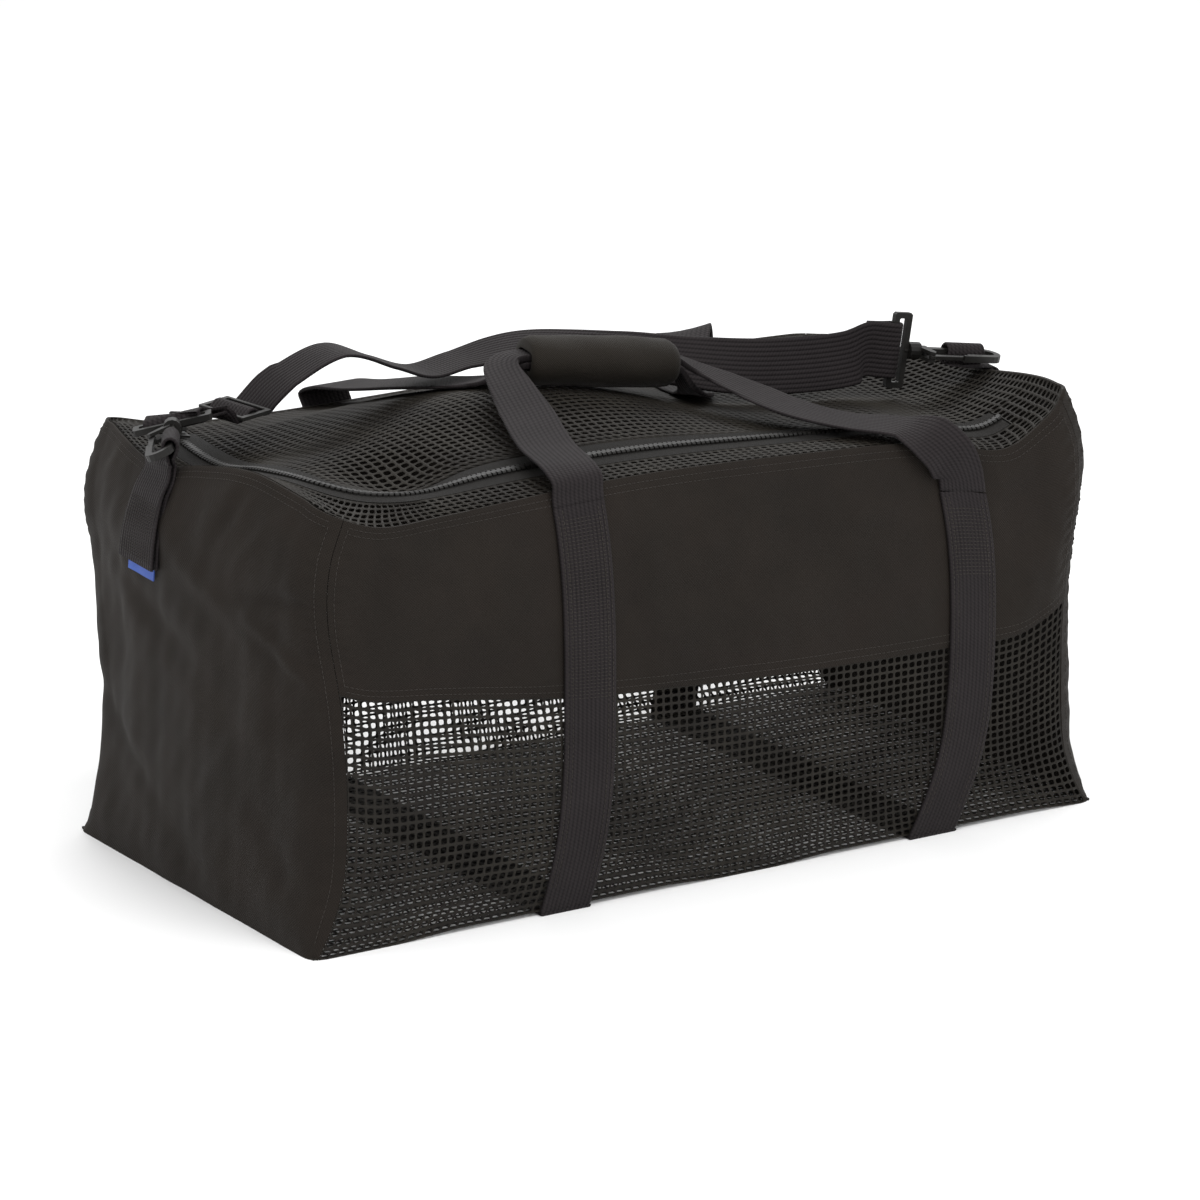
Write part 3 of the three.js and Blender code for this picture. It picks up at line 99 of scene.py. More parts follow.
floor_mesh = bpy.data.meshes.new("floor")
floor_corners = [(x * FLOOR_HALF, y * FLOOR_HALF, 0) for x, y in ((-1, -1), (1, -1), (1, 1), (-1, 1))]
floor_mesh.from_pydata(floor_corners, [], [(0, 1, 2, 3)])
floor_mesh.materials.append(paper)
floor = bpy.data.objects.new("floor", floor_mesh)
bpy.context.scene.collection.objects.link(floor)

LIGHTS = [
    # name, azimuth, elevation, distance, width, height, watts
    ("key_softbox", -10, 62, 2.2, 1.5, 1.1, 26),
    ("fill_softbox", -100, 24, 2.6, 1.2, 1.2, 4),
    ("front_softbox", 8, 22, 3.0, 1.4, 1.0, 5),
    ("rim_strip", 150, 42, 2.2, 1.8, 0.5, 12),
]
for name, azimuth, elevation, distance, width, height, watts in LIGHTS:
    lamp = bpy.data.lights.new(name, "AREA")
    lamp.shape = "RECTANGLE"
    lamp.size = width
    lamp.size_y = height
    lamp.energy = watts
    holder = bpy.data.objects.new(name, lamp)
    bpy.context.scene.collection.objects.link(holder)
    holder.location = CAMERA_TARGET + distance * view_vector(azimuth, elevation)
    holder.rotation_euler = (CAMERA_TARGET - holder.location).to_track_quat("-Z", "Y").to_euler()

world = bpy.data.worlds.new("studio")
world.use_nodes = True
world.node_tree.nodes["Background"].inputs["Color"].default_value = srgb(0xFFFFFF)
world.node_tree.nodes["Background"].inputs["Strength"].default_value = 1.02
bpy.context.scene.world = world
bpy.context.scene.view_settings.view_transform = "Standard"

# Walls of the bag
# A sewn box of coated cloth and net. Its shape by height, the rim's dips and the seam between band and net
# are those of the solids. Everything is worked out in millimetres.
BAG_LENGTH = 610.0
BAG_DEPTH = 315.0
WALL_HEIGHT = 286.0
CLOTH_THICK = 2.0
NET_THICK = 1.8
SEAM_GAP = 0.4
STITCH_GAP = 0.4
RIM_CLEAR = 0.9
FRONT_BELLY = 9.0
END_BELLY = 15.0
SEAM_TURN = 30.0
CARRY_WIDTH = 38.0
TAB_WIDTH = 50.0
WEB_THICK = 2.2
STRAP_X = {"left": -0.1934 * BAG_LENGTH, "right": 0.2787 * BAG_LENGTH}
LIFT_REACH = 80.0
LIFT_RUN = 44.0
MM = 0.001


def table(columns, rows):
    """A table's columns by name"""
    return {name: np.array(values, float) for name, values in zip(columns.split(), zip(*rows))}


wall_sections = table(
    "height ends_in sides_in round front_bulge end_bulge",
    [
        (0.0, 0.0, 0.0, 0.035, 0.0, 0.0),
        (0.07, 0.001, -0.006, 0.1, 0.4, 0.25),
        (0.18, 0.004, -0.012, 0.15, 0.8, 0.5),
        (0.38, 0.004, -0.014, 0.165, 1.0, 0.75),
        (0.58, 0.002, -0.01, 0.15, 1.0, 0.9),
        (0.78, -0.003, -0.004, 0.115, 0.8, 1.0),
        (0.9, 0.006, 0.0, 0.095, 0.5, 1.05),
        (1.0, 0.027, 0.007, 0.085, 0.0, 1.1),
    ],
)
# The rim's rise along the front, the right end, the back and the left end
front_rim = [(0, 0), (0.06, -0.036), (0.13, -0.034), (0.38, -0.015), (0.6, -0.028), (0.8, -0.055)]
front_rim += [(0.9, -0.1), (0.96, -0.045), (1, 0.01)]
right_rim = [(0, 0.01), (0.12, 0.004), (0.23, -0.012), (0.41, -0.045), (0.5, -0.058), (0.65, -0.06)]
right_rim += [(0.9, -0.07), (1, -0.078)]
back_rim = [(0, -0.078), (0.12, -0.072), (0.5, -0.065), (0.88, -0.06), (1, -0.01)]
left_rim = [(0, -0.01), (0.08, -0.005), (0.38, -0.023), (0.58, 0.026), (0.76, 0.052), (0.9, 0.03), (1, 0)]
rim_sides = [table("along rise", rows) for rows in (front_rim, right_rim, back_rim, left_rim)]
band_seam = table("along share", [(0, 0.61), (0.1, 0.585), (0.3, 0.52), (0.5, 0.495), (0.8, 0.485), (1, 0.52)])


def from_table(rows, key, column, at):
    """A smooth value of one column at a place in the key column"""
    at = np.asarray(at, float)
    keys, values = rows[key], rows[column]
    last = len(keys) - 1
    row = np.searchsorted(keys[1:last], at)
    span = keys[row + 1] - keys[row]
    share = np.clip((at - keys[row]) / span, 0, 1)
    before, after = np.maximum(row - 1, 0), np.minimum(row + 2, last)
    slope_in = (values[row + 1] - values[before]) / (keys[row + 1] - keys[before]) * span
    slope_out = (values[after] - values[row]) / (keys[after] - keys[row]) * span
    s2, s3 = share**2, share**3
    start = (2 * s3 - 3 * s2 + 1) * values[row] + (s3 - 2 * s2 + share) * slope_in
    return start + (3 * s2 - 2 * s3) * values[row + 1] + (s3 - s2) * slope_out


def wall_plan(place, height):
    half_length = BAG_LENGTH * (0.5 - from_table(wall_sections, "height", "ends_in", height))
    half_depth = BAG_DEPTH * (0.5 - from_table(wall_sections, "height", "sides_in", height))
    radius = BAG_DEPTH * from_table(wall_sections, "height", "round", height)
    front_bulge = FRONT_BELLY * from_table(wall_sections, "height", "front_bulge", height)
    end_bulge = END_BELLY * from_table(wall_sections, "height", "end_bulge", height)
    side = np.floor(place).astype(int) % 4
    long_side = side % 2 == 0
    straight = np.where(long_side, half_length, half_depth) - radius
    reach = np.where(long_side, half_depth, half_length)
    bulge = np.where(long_side, front_bulge, end_bulge)
    arc = math.pi / 4 * radius
    run = (place - np.floor(place)) * 2 * (straight + arc) - (straight + arc)
    over = np.abs(run) - straight
    angle = np.maximum(over, 0) / radius
    along = np.where(over > 0, np.sign(run) * (straight + radius * np.sin(angle)), run)
    out = np.where(over > 0, reach - radius + radius * np.cos(angle), reach + bulge * (1 - (run / straight) ** 2))
    turn = side * math.pi / 2
    return along * np.cos(turn) + out * np.sin(turn), along * np.sin(turn) - out * np.cos(turn)


def rim_rise(place):
    side = np.floor(place).astype(int) % 4
    share = place - np.floor(place)
    rises = [from_table(rows, "along", "rise", share) for rows in rim_sides]
    return np.select([side == k for k in range(4)], rises)


def strap_lift(x):
    near = np.minimum(abs(x - STRAP_X["left"]), abs(x - STRAP_X["right"])) - LIFT_REACH
    return (WEB_THICK + SEAM_GAP) * np.clip(1 - near / LIFT_RUN, 0, 1)


def wall_point(place, height):
    place, height = np.broadcast_arrays(np.asarray(place, float), np.asarray(height, float))
    x, y = wall_plan(place, height)
    z = strap_lift(x) * (1 - height) ** 3 + height * WALL_HEIGHT * (1 + rim_rise(place))
    return np.stack([x, y, z], -1)


def seam_share(place):
    turned = place - 4 * np.floor(np.asarray(place, float) / 4)
    return from_table(band_seam, "along", "share", np.clip(np.where(turned < 1, turned, 3 - turned), 0, 1))


def height_of(seam, row):
    """Rows 0 to 1 are the net from the base to the seam, and 1 to 2 the band from the seam to the rim"""
    return np.where(row < 1, seam * row, seam + (1 - seam) * (row - 1))


def side_point(place, row):
    return wall_point(place, height_of(seam_share(place), np.asarray(row, float)))


def seam_place(corner, height, direction):
    radius = BAG_DEPTH * from_table(wall_sections, "height", "round", height)
    half_length = BAG_LENGTH * (0.5 - from_table(wall_sections, "height", "ends_in", height))
    length = 2 * (half_length - radius + math.pi / 4 * radius)
    return corner + direction * math.radians(45 - SEAM_TURN) * radius / length


def long_side(first):
    def surface(along, row):
        along, row = np.broadcast_arrays(np.asarray(along, float), np.asarray(row, float))
        height = height_of(seam_share(first + along), row)
        gap = SEAM_GAP / BAG_LENGTH
        start = seam_place(first, height, 1) + gap
        return wall_point(start + (seam_place(first + 1, height, -1) - gap - start) * along, height)

    return surface


def end_panel(corner):
    def surface(along, row):
        along, row = np.broadcast_arrays(np.asarray(along, float), np.asarray(row, float))
        height = height_of(seam_share(np.full(row.shape, float(corner))), row)
        start = seam_place(corner, height, -1)
        return wall_point(start + (seam_place(corner + 1, height, 1) - start) * along, height)

    return surface


def unit(vectors):
    return vectors / np.maximum(np.linalg.norm(vectors, axis=-1, keepdims=True), 1e-12)


def normal_of(surface, u, v, step=1e-3):
    along = surface(u + step, v) - surface(u - step, v)
    up = surface(u, v + step) - surface(u, v - step)
    return unit(np.cross(along, up))


# Faces that meet at more than this many degrees keep a crisp edge, as at the cut ends of webbing
CUT_EDGE_ANGLE = 84


def make_piece(name, points, faces, flat, material, body="root", smooth=True):
    """A mesh piece from points in millimetres, faces of three or four corners, and flat places in metres"""
    mesh = bpy.data.meshes.new(name)
    points = np.ascontiguousarray(points, np.float32).reshape(-1, 3) * MM
    groups = [np.asarray(group, np.int32) for group in faces if len(group)]
    counts = np.concatenate([np.full(len(group), group.shape[1], np.int32) for group in groups])
    corners = np.concatenate([group.ravel() for group in groups])
    mesh.vertices.add(len(points))
    mesh.vertices.foreach_set("co", points.ravel())
    mesh.loops.add(len(corners))
    mesh.loops.foreach_set("vertex_index", corners)
    mesh.polygons.add(len(counts))
    mesh.polygons.foreach_set("loop_start", np.concatenate([[0], np.cumsum(counts)[:-1]]).astype(np.int32))
    mesh.polygons.foreach_set("use_smooth", np.full(len(counts), smooth))
    if flat is not None:
        layer = mesh.uv_layers.new(name="flat")
        layer.data.foreach_set("uv", np.asarray(flat, np.float32).reshape(-1, 2)[corners].ravel())
    mesh.update(calc_edges=True)
    if smooth:
        mesh.set_sharp_from_angle(angle=math.radians(CUT_EDGE_ANGLE))
    mesh.materials.append(material)
    piece = bpy.data.objects.new(name, mesh)
    bpy.context.scene.collection.objects.link(piece)
    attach(piece, body)
    return piece


def shell(place, normal, inner, outer):
    """Points and faces of a closed sheet between two offsets from a grid of places"""
    n, m = place.shape[:2]
    sides = [place + normal * np.broadcast_to(offset, (n, m))[..., None] for offset in (outer, inner)]
    points = np.concatenate(sides).reshape(-1, 3)
    top = np.arange(n * m).reshape(n, m)
    low = top + n * m
    quads = [
        np.stack([top[:-1, :-1], top[1:, :-1], top[1:, 1:], top[:-1, 1:]], -1).reshape(-1, 4),
        np.stack([low[:-1, :-1], low[:-1, 1:], low[1:, 1:], low[1:, :-1]], -1).reshape(-1, 4),
        np.stack([top[1:, 0], top[:-1, 0], low[:-1, 0], low[1:, 0]], -1),
        np.stack([top[:-1, -1], top[1:, -1], low[1:, -1], low[:-1, -1]], -1),
        np.stack([top[0, :-1], top[0, 1:], low[0, 1:], low[0, :-1]], -1),
        np.stack([top[-1, 1:], top[-1, :-1], low[-1, :-1], low[-1, 1:]], -1),
    ]
    return points, np.concatenate(quads)


def run_length(points):
    """Distance from the first point along a line of points"""
    return np.concatenate([[0], np.cumsum(np.linalg.norm(np.diff(points, axis=0), axis=-1))])


def flat_places(place):
    """Distances over the cloth in metres, along both ways of a grid"""
    along = np.linalg.norm(np.diff(place, axis=0), axis=-1).mean(1)
    across = np.linalg.norm(np.diff(place, axis=1), axis=-1).mean(0)
    u = np.concatenate([[0], np.cumsum(along)]) * MM
    v = np.concatenate([[0], np.cumsum(across)]) * MM
    return np.tile(np.stack(np.meshgrid(u, v, indexing="ij"), -1).reshape(-1, 2), (2, 1))


NOISE_WAVES = 7


def smooth_noise(points, size, seed):
    """Gentle waves in space, at about the given size in millimetres"""
    source = np.random.default_rng(seed)
    total = np.zeros(points.shape[:-1])
    for _ in range(NOISE_WAVES):
        way = unit(source.normal(size=3)) * source.uniform(0.7, 1.4) * 2 * math.pi / size
        total += np.sin(points @ way + source.uniform(0, 6.28))
    return total / NOISE_WAVES**0.5


# Coated polyester cloth, plain woven: matt warm black with a faint thread relief, drawn at 2 mm instead of
# the real 0.7 mm so that it shows. Its thread crests carry a painted highlight and its hollows painted shade
THREAD_DRAWN = 0.002


def set_ramp(ramp, *stops):
    for element, (position, colour) in zip(ramp.color_ramp.elements, stops):
        element.position = position
        element.color = srgb(colour)


def woven(name, colour, worn_and_crest_lit, thread, roughness, sheen, relief=0.35):
    material, tree = empty_material(name)
    flat = add_node(tree, "ShaderNodeTexCoord")
    split = add_node(tree, "ShaderNodeSeparateXYZ", {}, {"Vector": (flat, "UV")})
    waves = []
    for axis in ("X", "Y"):
        wave = {"operation": "MULTIPLY", 1: 2 * math.pi / thread}
        turns = add_node(tree, "ShaderNodeMath", wave, {0: (split, axis)})
        waves.append(add_node(tree, "ShaderNodeMath", {"operation": "SINE"}, {0: (turns, 0)}))
    crossing = add_node(tree, "ShaderNodeMath", {"operation": "MULTIPLY"}, {0: (waves[0], 0), 1: (waves[1], 0)})
    slubs = add_node(tree, "ShaderNodeTexNoise", {"Scale": 420.0, "Detail": 3.0}, {"Vector": (flat, "Object")})
    slubbed = {"operation": "MULTIPLY_ADD", 1: 0.6}
    height = add_node(tree, "ShaderNodeMath", slubbed, {0: (slubs, "Fac"), 2: (crossing, 0)})
    bump = add_node(tree, "ShaderNodeBump", {"Strength": relief, "Distance": 0.0006}, {"Height": (height, 0)})
    large = {"Scale": 14.0, "Detail": 5.0, "Roughness": 0.62}
    clouds = add_node(tree, "ShaderNodeTexNoise", large, {"Vector": (flat, "Object")})
    # The thread relief also sets the colour: raised threads are painted lighter as a painted highlight and the
    # hollows between them darker as painted shade, while the large clouds give a random worn tone
    shade = {"From Min": -1.0, "From Max": 1.5, "To Min": 0.0, "To Max": 0.45}
    depth = add_node(tree, "ShaderNodeMapRange", shade, {"Value": (height, 0)})
    clouded = {"operation": "MULTIPLY_ADD", 1: 0.7}
    blend = add_node(tree, "ShaderNodeMath", clouded, {0: (clouds, "Fac"), 2: (depth, "Result")})
    ramp = add_node(tree, "ShaderNodeValToRGB", {}, {"Fac": (blend, 0)})
    set_ramp(ramp, (0.25, colour), (0.85, worn_and_crest_lit))
    limits = {"To Min": roughness - 0.08, "To Max": roughness + 0.1}
    rough = add_node(tree, "ShaderNodeMapRange", limits, {"Value": (clouds, "Fac")})
    surface = add_node(
        tree,
        "ShaderNodeBsdfPrincipled",
        {"IOR": 1.5, "Sheen Weight": sheen, "Sheen Roughness": 0.5, "Specular IOR Level": 0.1},
        {"Base Color": (ramp, "Color"), "Roughness": (rough, "Result"), "Normal": (bump, "Normal")},
    )
    add_node(tree, "ShaderNodeOutputMaterial", {}, {"Surface": (surface, "BSDF")})
    return material


# Its lighter colour is random worn tone and also the painted highlight on the thread crests
coated_polyester = woven("coated_polyester", 0x15120F, 0x241F1B, THREAD_DRAWN, 0.68, 0.012)

def repeated(place, ways, block, faces, sizes):
    """The same small block at each place, with its own three directions and sizes"""
    sized = block[None] * np.asarray(sizes).reshape(-1, 1, 3)
    points = place[:, None] + sum(sized[..., k, None] * ways[k][:, None] for k in range(3))
    quads = np.asarray(faces)[None] + (np.arange(len(place)) * len(block))[:, None, None]
    return points.reshape(-1, 3), quads.reshape(-1, 4)


# End panels and long bands
# The ends are whole panels of coated cloth and reach round the corners; each long side has a band from mid
# height to the rim. They are sewn at the corners and hemmed at the rim, and crease where the straps pull.
PANEL_STEP = 3.0
PUCKER_LENGTH = 11.0
PUCKER_DEPTH = 0.55
FOLDS = {
    # along, row, half length, half width, turn in degrees, depth
    "left_end": [
        (0.72, 1.72, 0.1, 0.07, 62, -3.4),
        (0.8, 1.62, 0.1, 0.06, 58, 2.6),
        (0.88, 1.42, 0.16, 0.07, 18, -3.6),
        (0.6, 1.45, 0.24, 0.12, -38, 3.2),
        (0.9, 1.12, 0.12, 0.08, -28, 3.0),
        (0.45, 1.1, 0.3, 0.14, -32, -3.2),
        (0.93, 0.85, 0.1, 0.08, 24, -3.0),
        (0.68, 0.6, 0.25, 0.12, 38, 2.8),
        (0.25, 0.45, 0.25, 0.1, -25, -2.6),
        (0.12, 1.3, 0.08, 0.3, 75, -2.6),
        (0.85, 0.3, 0.12, 0.1, -35, -2.6),
    ],
    "right_end": [
        (0.4, 1.5, 0.25, 0.1, 35, -3.4),
        (0.6, 0.9, 0.3, 0.12, -28, 3.0),
        (0.3, 0.5, 0.25, 0.1, 22, -2.8),
        (0.12, 1.5, 0.1, 0.1, -40, 2.6),
        (0.85, 1.3, 0.12, 0.1, 30, -2.6),
    ],
    "front_band": [
        (0.05, 1.6, 0.05, 0.12, 60, -2.4),
        (0.12, 1.75, 0.06, 0.1, -30, 2.0),
        (0.36, 1.6, 0.05, 0.2, 70, -1.8),
        (0.55, 1.45, 0.2, 0.1, 3, -2.0),
        (0.7, 1.7, 0.1, 0.1, -8, 1.8),
        (0.9, 1.7, 0.05, 0.14, 45, -2.6),
        (0.95, 1.4, 0.05, 0.2, 75, 2.0),
    ],
    "back_band": [(0.1, 1.6, 0.06, 0.2, 60, -2.4), (0.5, 1.5, 0.25, 0.1, -4, -2.0), (0.85, 1.7, 0.06, 0.2, -50, 2.2)],
}


def fold_depth(name, along, row, length, height):
    """Creases as soft ridges and furrows that fade at both ends"""
    total = np.zeros(np.broadcast(along, row).shape)
    for at, level, half_long, half_wide, turn, depth in FOLDS[name]:
        x = (along - at) * length
        z = (row - level) * height
        c, s = math.cos(math.radians(turn)), math.sin(math.radians(turn))
        run, off = (x * c + z * s) / (half_long * length), (z * c - x * s) / (half_wide * height)
        total = total + depth * np.exp(-(run**2) - off**2 * 2)
    # Thread draws the cloth into small puckers beside the corner seams
    beside = np.minimum(along, 1 - along) * length
    waves = np.sin(row * height * 2 * math.pi / PUCKER_LENGTH + 2 * np.sin(row * 9))
    puckers = PUCKER_DEPTH * waves * np.exp(-(((beside - 7) / 6) ** 2))
    return total * np.clip(beside / 14, 0, 1) + puckers


panel_surfaces = {
    "left_end": (end_panel(3), 0.0, 345.0),
    "right_end": (end_panel(1), 0.0, 345.0),
    "front_band": (long_side(0), 1.0, 600.0),
    "back_band": (long_side(2), 1.0, 600.0),
}
ROW_HEIGHT = 145.0
CREASE_FADE = 16.0
SEAM_EASE = 6.0
HEM_EASE = 2.0
LEG_FADE = 12.0
RIPPLES = [
    # depth, size, seed
    (1.1, 62, 3),
    (0.42, 23, 5),
]
lean_rows = [(0, 0, 0), (0.5, 0.25, 0.5), (1, 0.32, 0.66), (1.5, 0.34, 0.63), (2, 0.26, 0.32)]
leg_lean = table("row left right", lean_rows)


def creased(name):
    """A panel's surface with its creases, which lie flat at its hems and under the sewn straps"""
    surface, lowest, length = panel_surfaces[name]

    def folded(u, v):
        u, v = np.broadcast_arrays(np.asarray(u, float), np.asarray(v, float))
        place, normal = surface(u, v), normal_of(surface, u, v)
        crease = fold_depth(name, u, v, length, ROW_HEIGHT)
        for depth, size, seed in RIPPLES:
            crease = crease + depth * smooth_noise(place, size, seed)
        beside = np.minimum(u, 1 - u) * length + SEAM_EASE
        above, below = (2 - v) * ROW_HEIGHT, (v - lowest) * ROW_HEIGHT + HEM_EASE
        fade = np.clip(np.minimum(beside, np.minimum(above, below)) / CREASE_FADE, 0, 1)
        if name.endswith("band"):
            for hand in ("left", "right"):
                middle = STRAP_X[hand] + from_table(leg_lean, "row", hand, np.clip(v, 0, 2)) * CARRY_WIDTH
                fade = fade * np.clip((abs(place[..., 0] - middle) - CARRY_WIDTH / 2 - 1) / LEG_FADE, 0, 1)
        return place + normal * (crease * fade)[..., None]

    return folded


# The flat cuts, in metres
for name, (surface, lowest, length) in panel_surfaces.items():
    columns = np.linspace(0, 1, int(length / PANEL_STEP) + 1)
    rows = np.linspace(lowest, 2, int((2 - lowest) * ROW_HEIGHT / PANEL_STEP) + 1)
    u, v = np.meshgrid(columns, rows, indexing="ij")
    place = creased(name)(u, v)
    points, quads = shell(place, normal_of(surface, u, v), -CLOTH_THICK, 0.0)
    piece = make_piece(name + "_panel", points, [quads], flat_places(place), coated_polyester)
    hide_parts(name)

# Seam and hem stitches
# Polyester thread as thick as a bristle, in the cloth's own black. A row runs beside each corner seam and two
# along each band's lower hem and the rim.
STITCH_LONG = 2.6
STITCH_STEP = 3.4
STITCH_WIDE = 0.7
STITCH_HIGH = 0.4
SEAM_INSET = 4.5
RIM_INSETS = (4.5, 9.0)
HEM_INSETS = (4.0, 9.0)
# The lighter colour is worn tone and also the painted highlight on the thread crests
polyester_thread = woven("polyester_thread", 0x211E1B, 0x3A3633, 0.0008, 0.6, 0.03, 0.2)
# One stitch: a short bar, narrower and lower at both ends where the thread dives into the cloth
STITCH = []
for x, crest in ((-1, 0.1), (0, 1), (1, 0.1)):
    narrowed = 1 - 0.35 * abs(x)
    STITCH += [(x, y * narrowed, z) for y, z in ((-1, -0.6), (1, -0.6), (0.6, crest), (-0.6, crest))]
STITCH = np.array(STITCH)
STITCH_FACES = [(3, 2, 1, 0), (8, 9, 10, 11)]
for k in (0, 4):
    STITCH_FACES += [(k + i, k + (i + 1) % 4, k + 4 + (i + 1) % 4, k + 4 + i) for i in range(4)]


def stitch_row(surface, start, end, step=STITCH_STEP, long=STITCH_LONG):
    """Stitches on a surface along a straight run of its two shares"""
    start, end = np.array(start, float), np.array(end, float)
    fine = np.linspace(0, 1, 300)
    at = start + (end - start) * fine[:, None]
    length = run_length(surface(at[:, 0], at[:, 1]))
    share = np.interp(np.arange(step / 2, length[-1], step), length, fine)[:, None]
    u, v = (start + (end - start) * share).T
    place, out = surface(u, v), normal_of(surface, u, v)
    ahead = surface(*(start + (end - start) * (share + 2e-3)).T)
    along = unit(ahead - place)
    ways = [along, unit(np.cross(out, along)), out]
    return repeated(place, ways, STITCH, STITCH_FACES, (long / 2, STITCH_WIDE / 2, STITCH_HIGH))


def sewn(name, runs):
    """One piece from several rows of stitches"""
    points, quads, count = [], [], 0
    for found, faces in runs:
        points.append(found)
        quads.append(faces + count)
        count += len(found)
    points = np.concatenate(points)
    piece = make_piece(name, points, [np.concatenate(quads)], points[:, :2] * MM, polyester_thread)
    return piece


for name, (surface, lowest, length) in panel_surfaces.items():
    cloth, beside = creased(name), SEAM_INSET / length
    levels = [2 - inset / ROW_HEIGHT for inset in RIM_INSETS]
    if lowest:
        levels += [lowest + inset / ROW_HEIGHT for inset in HEM_INSETS]
    runs = [stitch_row(cloth, (beside, level), (1 - beside, level)) for level in levels]
    runs += [stitch_row(cloth, (side, lowest + 0.05), (side, 1.95)) for side in (beside, 1 - beside)]
    stitches = sewn(name + "_stitches", runs)

# Nets
# Open net of thick coated yarn, about 6 mm from strand to strand, cut to shape and sewn into the seams. Each
# strand is a real ridge, crossing the others at a small knot.
NET_PITCH_WIDE = 6.3
NET_PITCH_HIGH = 5.7
STRAND = 1.5
STRAND_CREST = 0.62
KNOT_SHARE = 0.36
KNOT_RISE = 1.25

coated_yarn, tree = empty_material("coated_yarn")
spot = add_node(tree, "ShaderNodeTexCoord")
cloud = add_node(tree, "ShaderNodeTexNoise", {"Scale": 22.0, "Detail": 4.0}, {"Vector": (spot, "Object")})
fibre = add_node(tree, "ShaderNodeTexNoise", {"Scale": 900.0, "Detail": 2.0}, {"Vector": (spot, "Object")})
tone = add_node(tree, "ShaderNodeValToRGB", {}, {"Fac": (cloud, "Fac")})
set_ramp(tone, (0.3, 0x171411), (0.75, 0x25221D))
bump = add_node(tree, "ShaderNodeBump", {"Strength": 0.4, "Distance": 0.0003}, {"Height": (fibre, "Fac")})
coating = {"Roughness": 0.62, "IOR": 1.53, "Specular IOR Level": 0.16}
finish = {"Base Color": (tone, "Color"), "Normal": (bump, "Normal")}
skin = add_node(tree, "ShaderNodeBsdfPrincipled", coating, finish)
add_node(tree, "ShaderNodeOutputMaterial", {}, {"Surface": (skin, "BSDF")})

# The eight places round a cell's opening and round its border, in the cell's own half widths
RING = [(-1, -1), (0, -1), (1, -1), (1, 0), (1, 1), (0, 1), (-1, 1), (-1, 0)]


def knit(surface, columns, rows, width, height):
    """Points and faces of a net over a surface whose two shares run from 0 to 1. surface takes arrays of both
    shares; width and height are the sheet's size, so that openings keep their size"""
    middle = -NET_THICK / 2
    grid_u = np.linspace(0, 1, 2 * columns + 1)
    grid_v = np.linspace(0, 1, 2 * rows + 1)
    border_u, border_v = np.meshgrid(grid_u, grid_v, indexing="ij")
    odd_u, odd_v = np.meshgrid(np.arange(2 * columns + 1) % 2, np.arange(2 * rows + 1) % 2, indexing="ij")
    keep = odd_u + odd_v < 2
    number = np.full(keep.shape, -1)
    number[keep] = np.arange(keep.sum())
    count = int(keep.sum())
    u, v = border_u[keep], border_v[keep]
    crest = np.where((odd_u + odd_v == 0)[keep], STRAND_CREST * KNOT_RISE, STRAND_CREST)[:, None]
    cell_u, cell_v = np.meshgrid(grid_u[1::2], grid_v[1::2], indexing="ij")
    open_u = 0.5 / columns * (1 - STRAND * columns / width)
    open_v = 0.5 / rows * (1 - STRAND * rows / height)
    ring = np.array(RING) * (1 - KNOT_SHARE / 2 * abs(np.array(RING)[:, ::-1]))
    hole_u = (cell_u[..., None] + ring[:, 0] * open_u).ravel()
    hole_v = (cell_v[..., None] + ring[:, 1] * open_v).ravel()
    place = surface(np.concatenate([u, hole_u]), np.concatenate([v, hole_v]))
    normal = normal_of(surface, u, v)
    place[:count] += normal * middle
    place[count:] += np.repeat(normal_of(surface, cell_u.ravel(), cell_v.ravel()), 8, axis=0) * middle
    points = np.concatenate([place[:count] + normal * crest, place[:count] - normal * crest, place[count:]])
    i, j = np.meshgrid(np.arange(columns), np.arange(rows), indexing="ij")
    offsets = [(a + 1, b + 1) for a, b in RING]
    edge = np.stack([number[2 * i + a, 2 * j + b].ravel() for a, b in offsets], -1)
    hole = 2 * count + np.arange(columns * rows * 8).reshape(-1, 8)
    after = np.roll(np.arange(8), -1)
    front = np.stack([edge, edge[:, after], hole[:, after], hole], -1).reshape(-1, 4)
    back = np.stack([edge + count, hole, hole[:, after], edge[:, after] + count], -1).reshape(-1, 4)
    flat = np.stack([np.concatenate([u, u, hole_u]) * width, np.concatenate([v, v, hole_v]) * height], -1)
    # The cut edge is closed from the front crest to the back one
    rim = []
    for line in (number[:, 0], number[-1, :], number[::-1, -1], number[0, ::-1]):
        rim.append(np.stack([line[1:], line[:-1], line[:-1] + count, line[1:] + count], -1))
    return points, [front, back, np.concatenate(rim)], flat * MM


def add_net(name, node, surface, width, height):
    columns, rows = round(width / NET_PITCH_WIDE), round(height / NET_PITCH_HIGH)
    points, faces, flat = knit(surface, columns, rows, width, height)
    piece = make_piece(name, points, faces, flat, coated_yarn)
    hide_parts(node)
    return piece


for side, first in (("front", 0), ("back", 2)):
    spread = long_side(first)
    add_net(side + "_open_net", side + "_net", lambda u, v, s=spread: s(u, v * 0.999), 600.0, 150.0)

BASE_HALF_LENGTH = BAG_LENGTH / 2 - CLOTH_THICK - SEAM_GAP
BASE_HALF_DEPTH = BAG_DEPTH / 2 - CLOTH_THICK - SEAM_GAP


def base_surface(u, v):
    x, y = BASE_HALF_LENGTH * (2 * u - 1), BASE_HALF_DEPTH * (2 * v - 1)
    return np.stack([x, y, strap_lift(x) + NET_THICK], -1)


add_net("base_open_net", "bottom_net", base_surface, 2 * BASE_HALF_LENGTH, 2 * BASE_HALF_DEPTH)

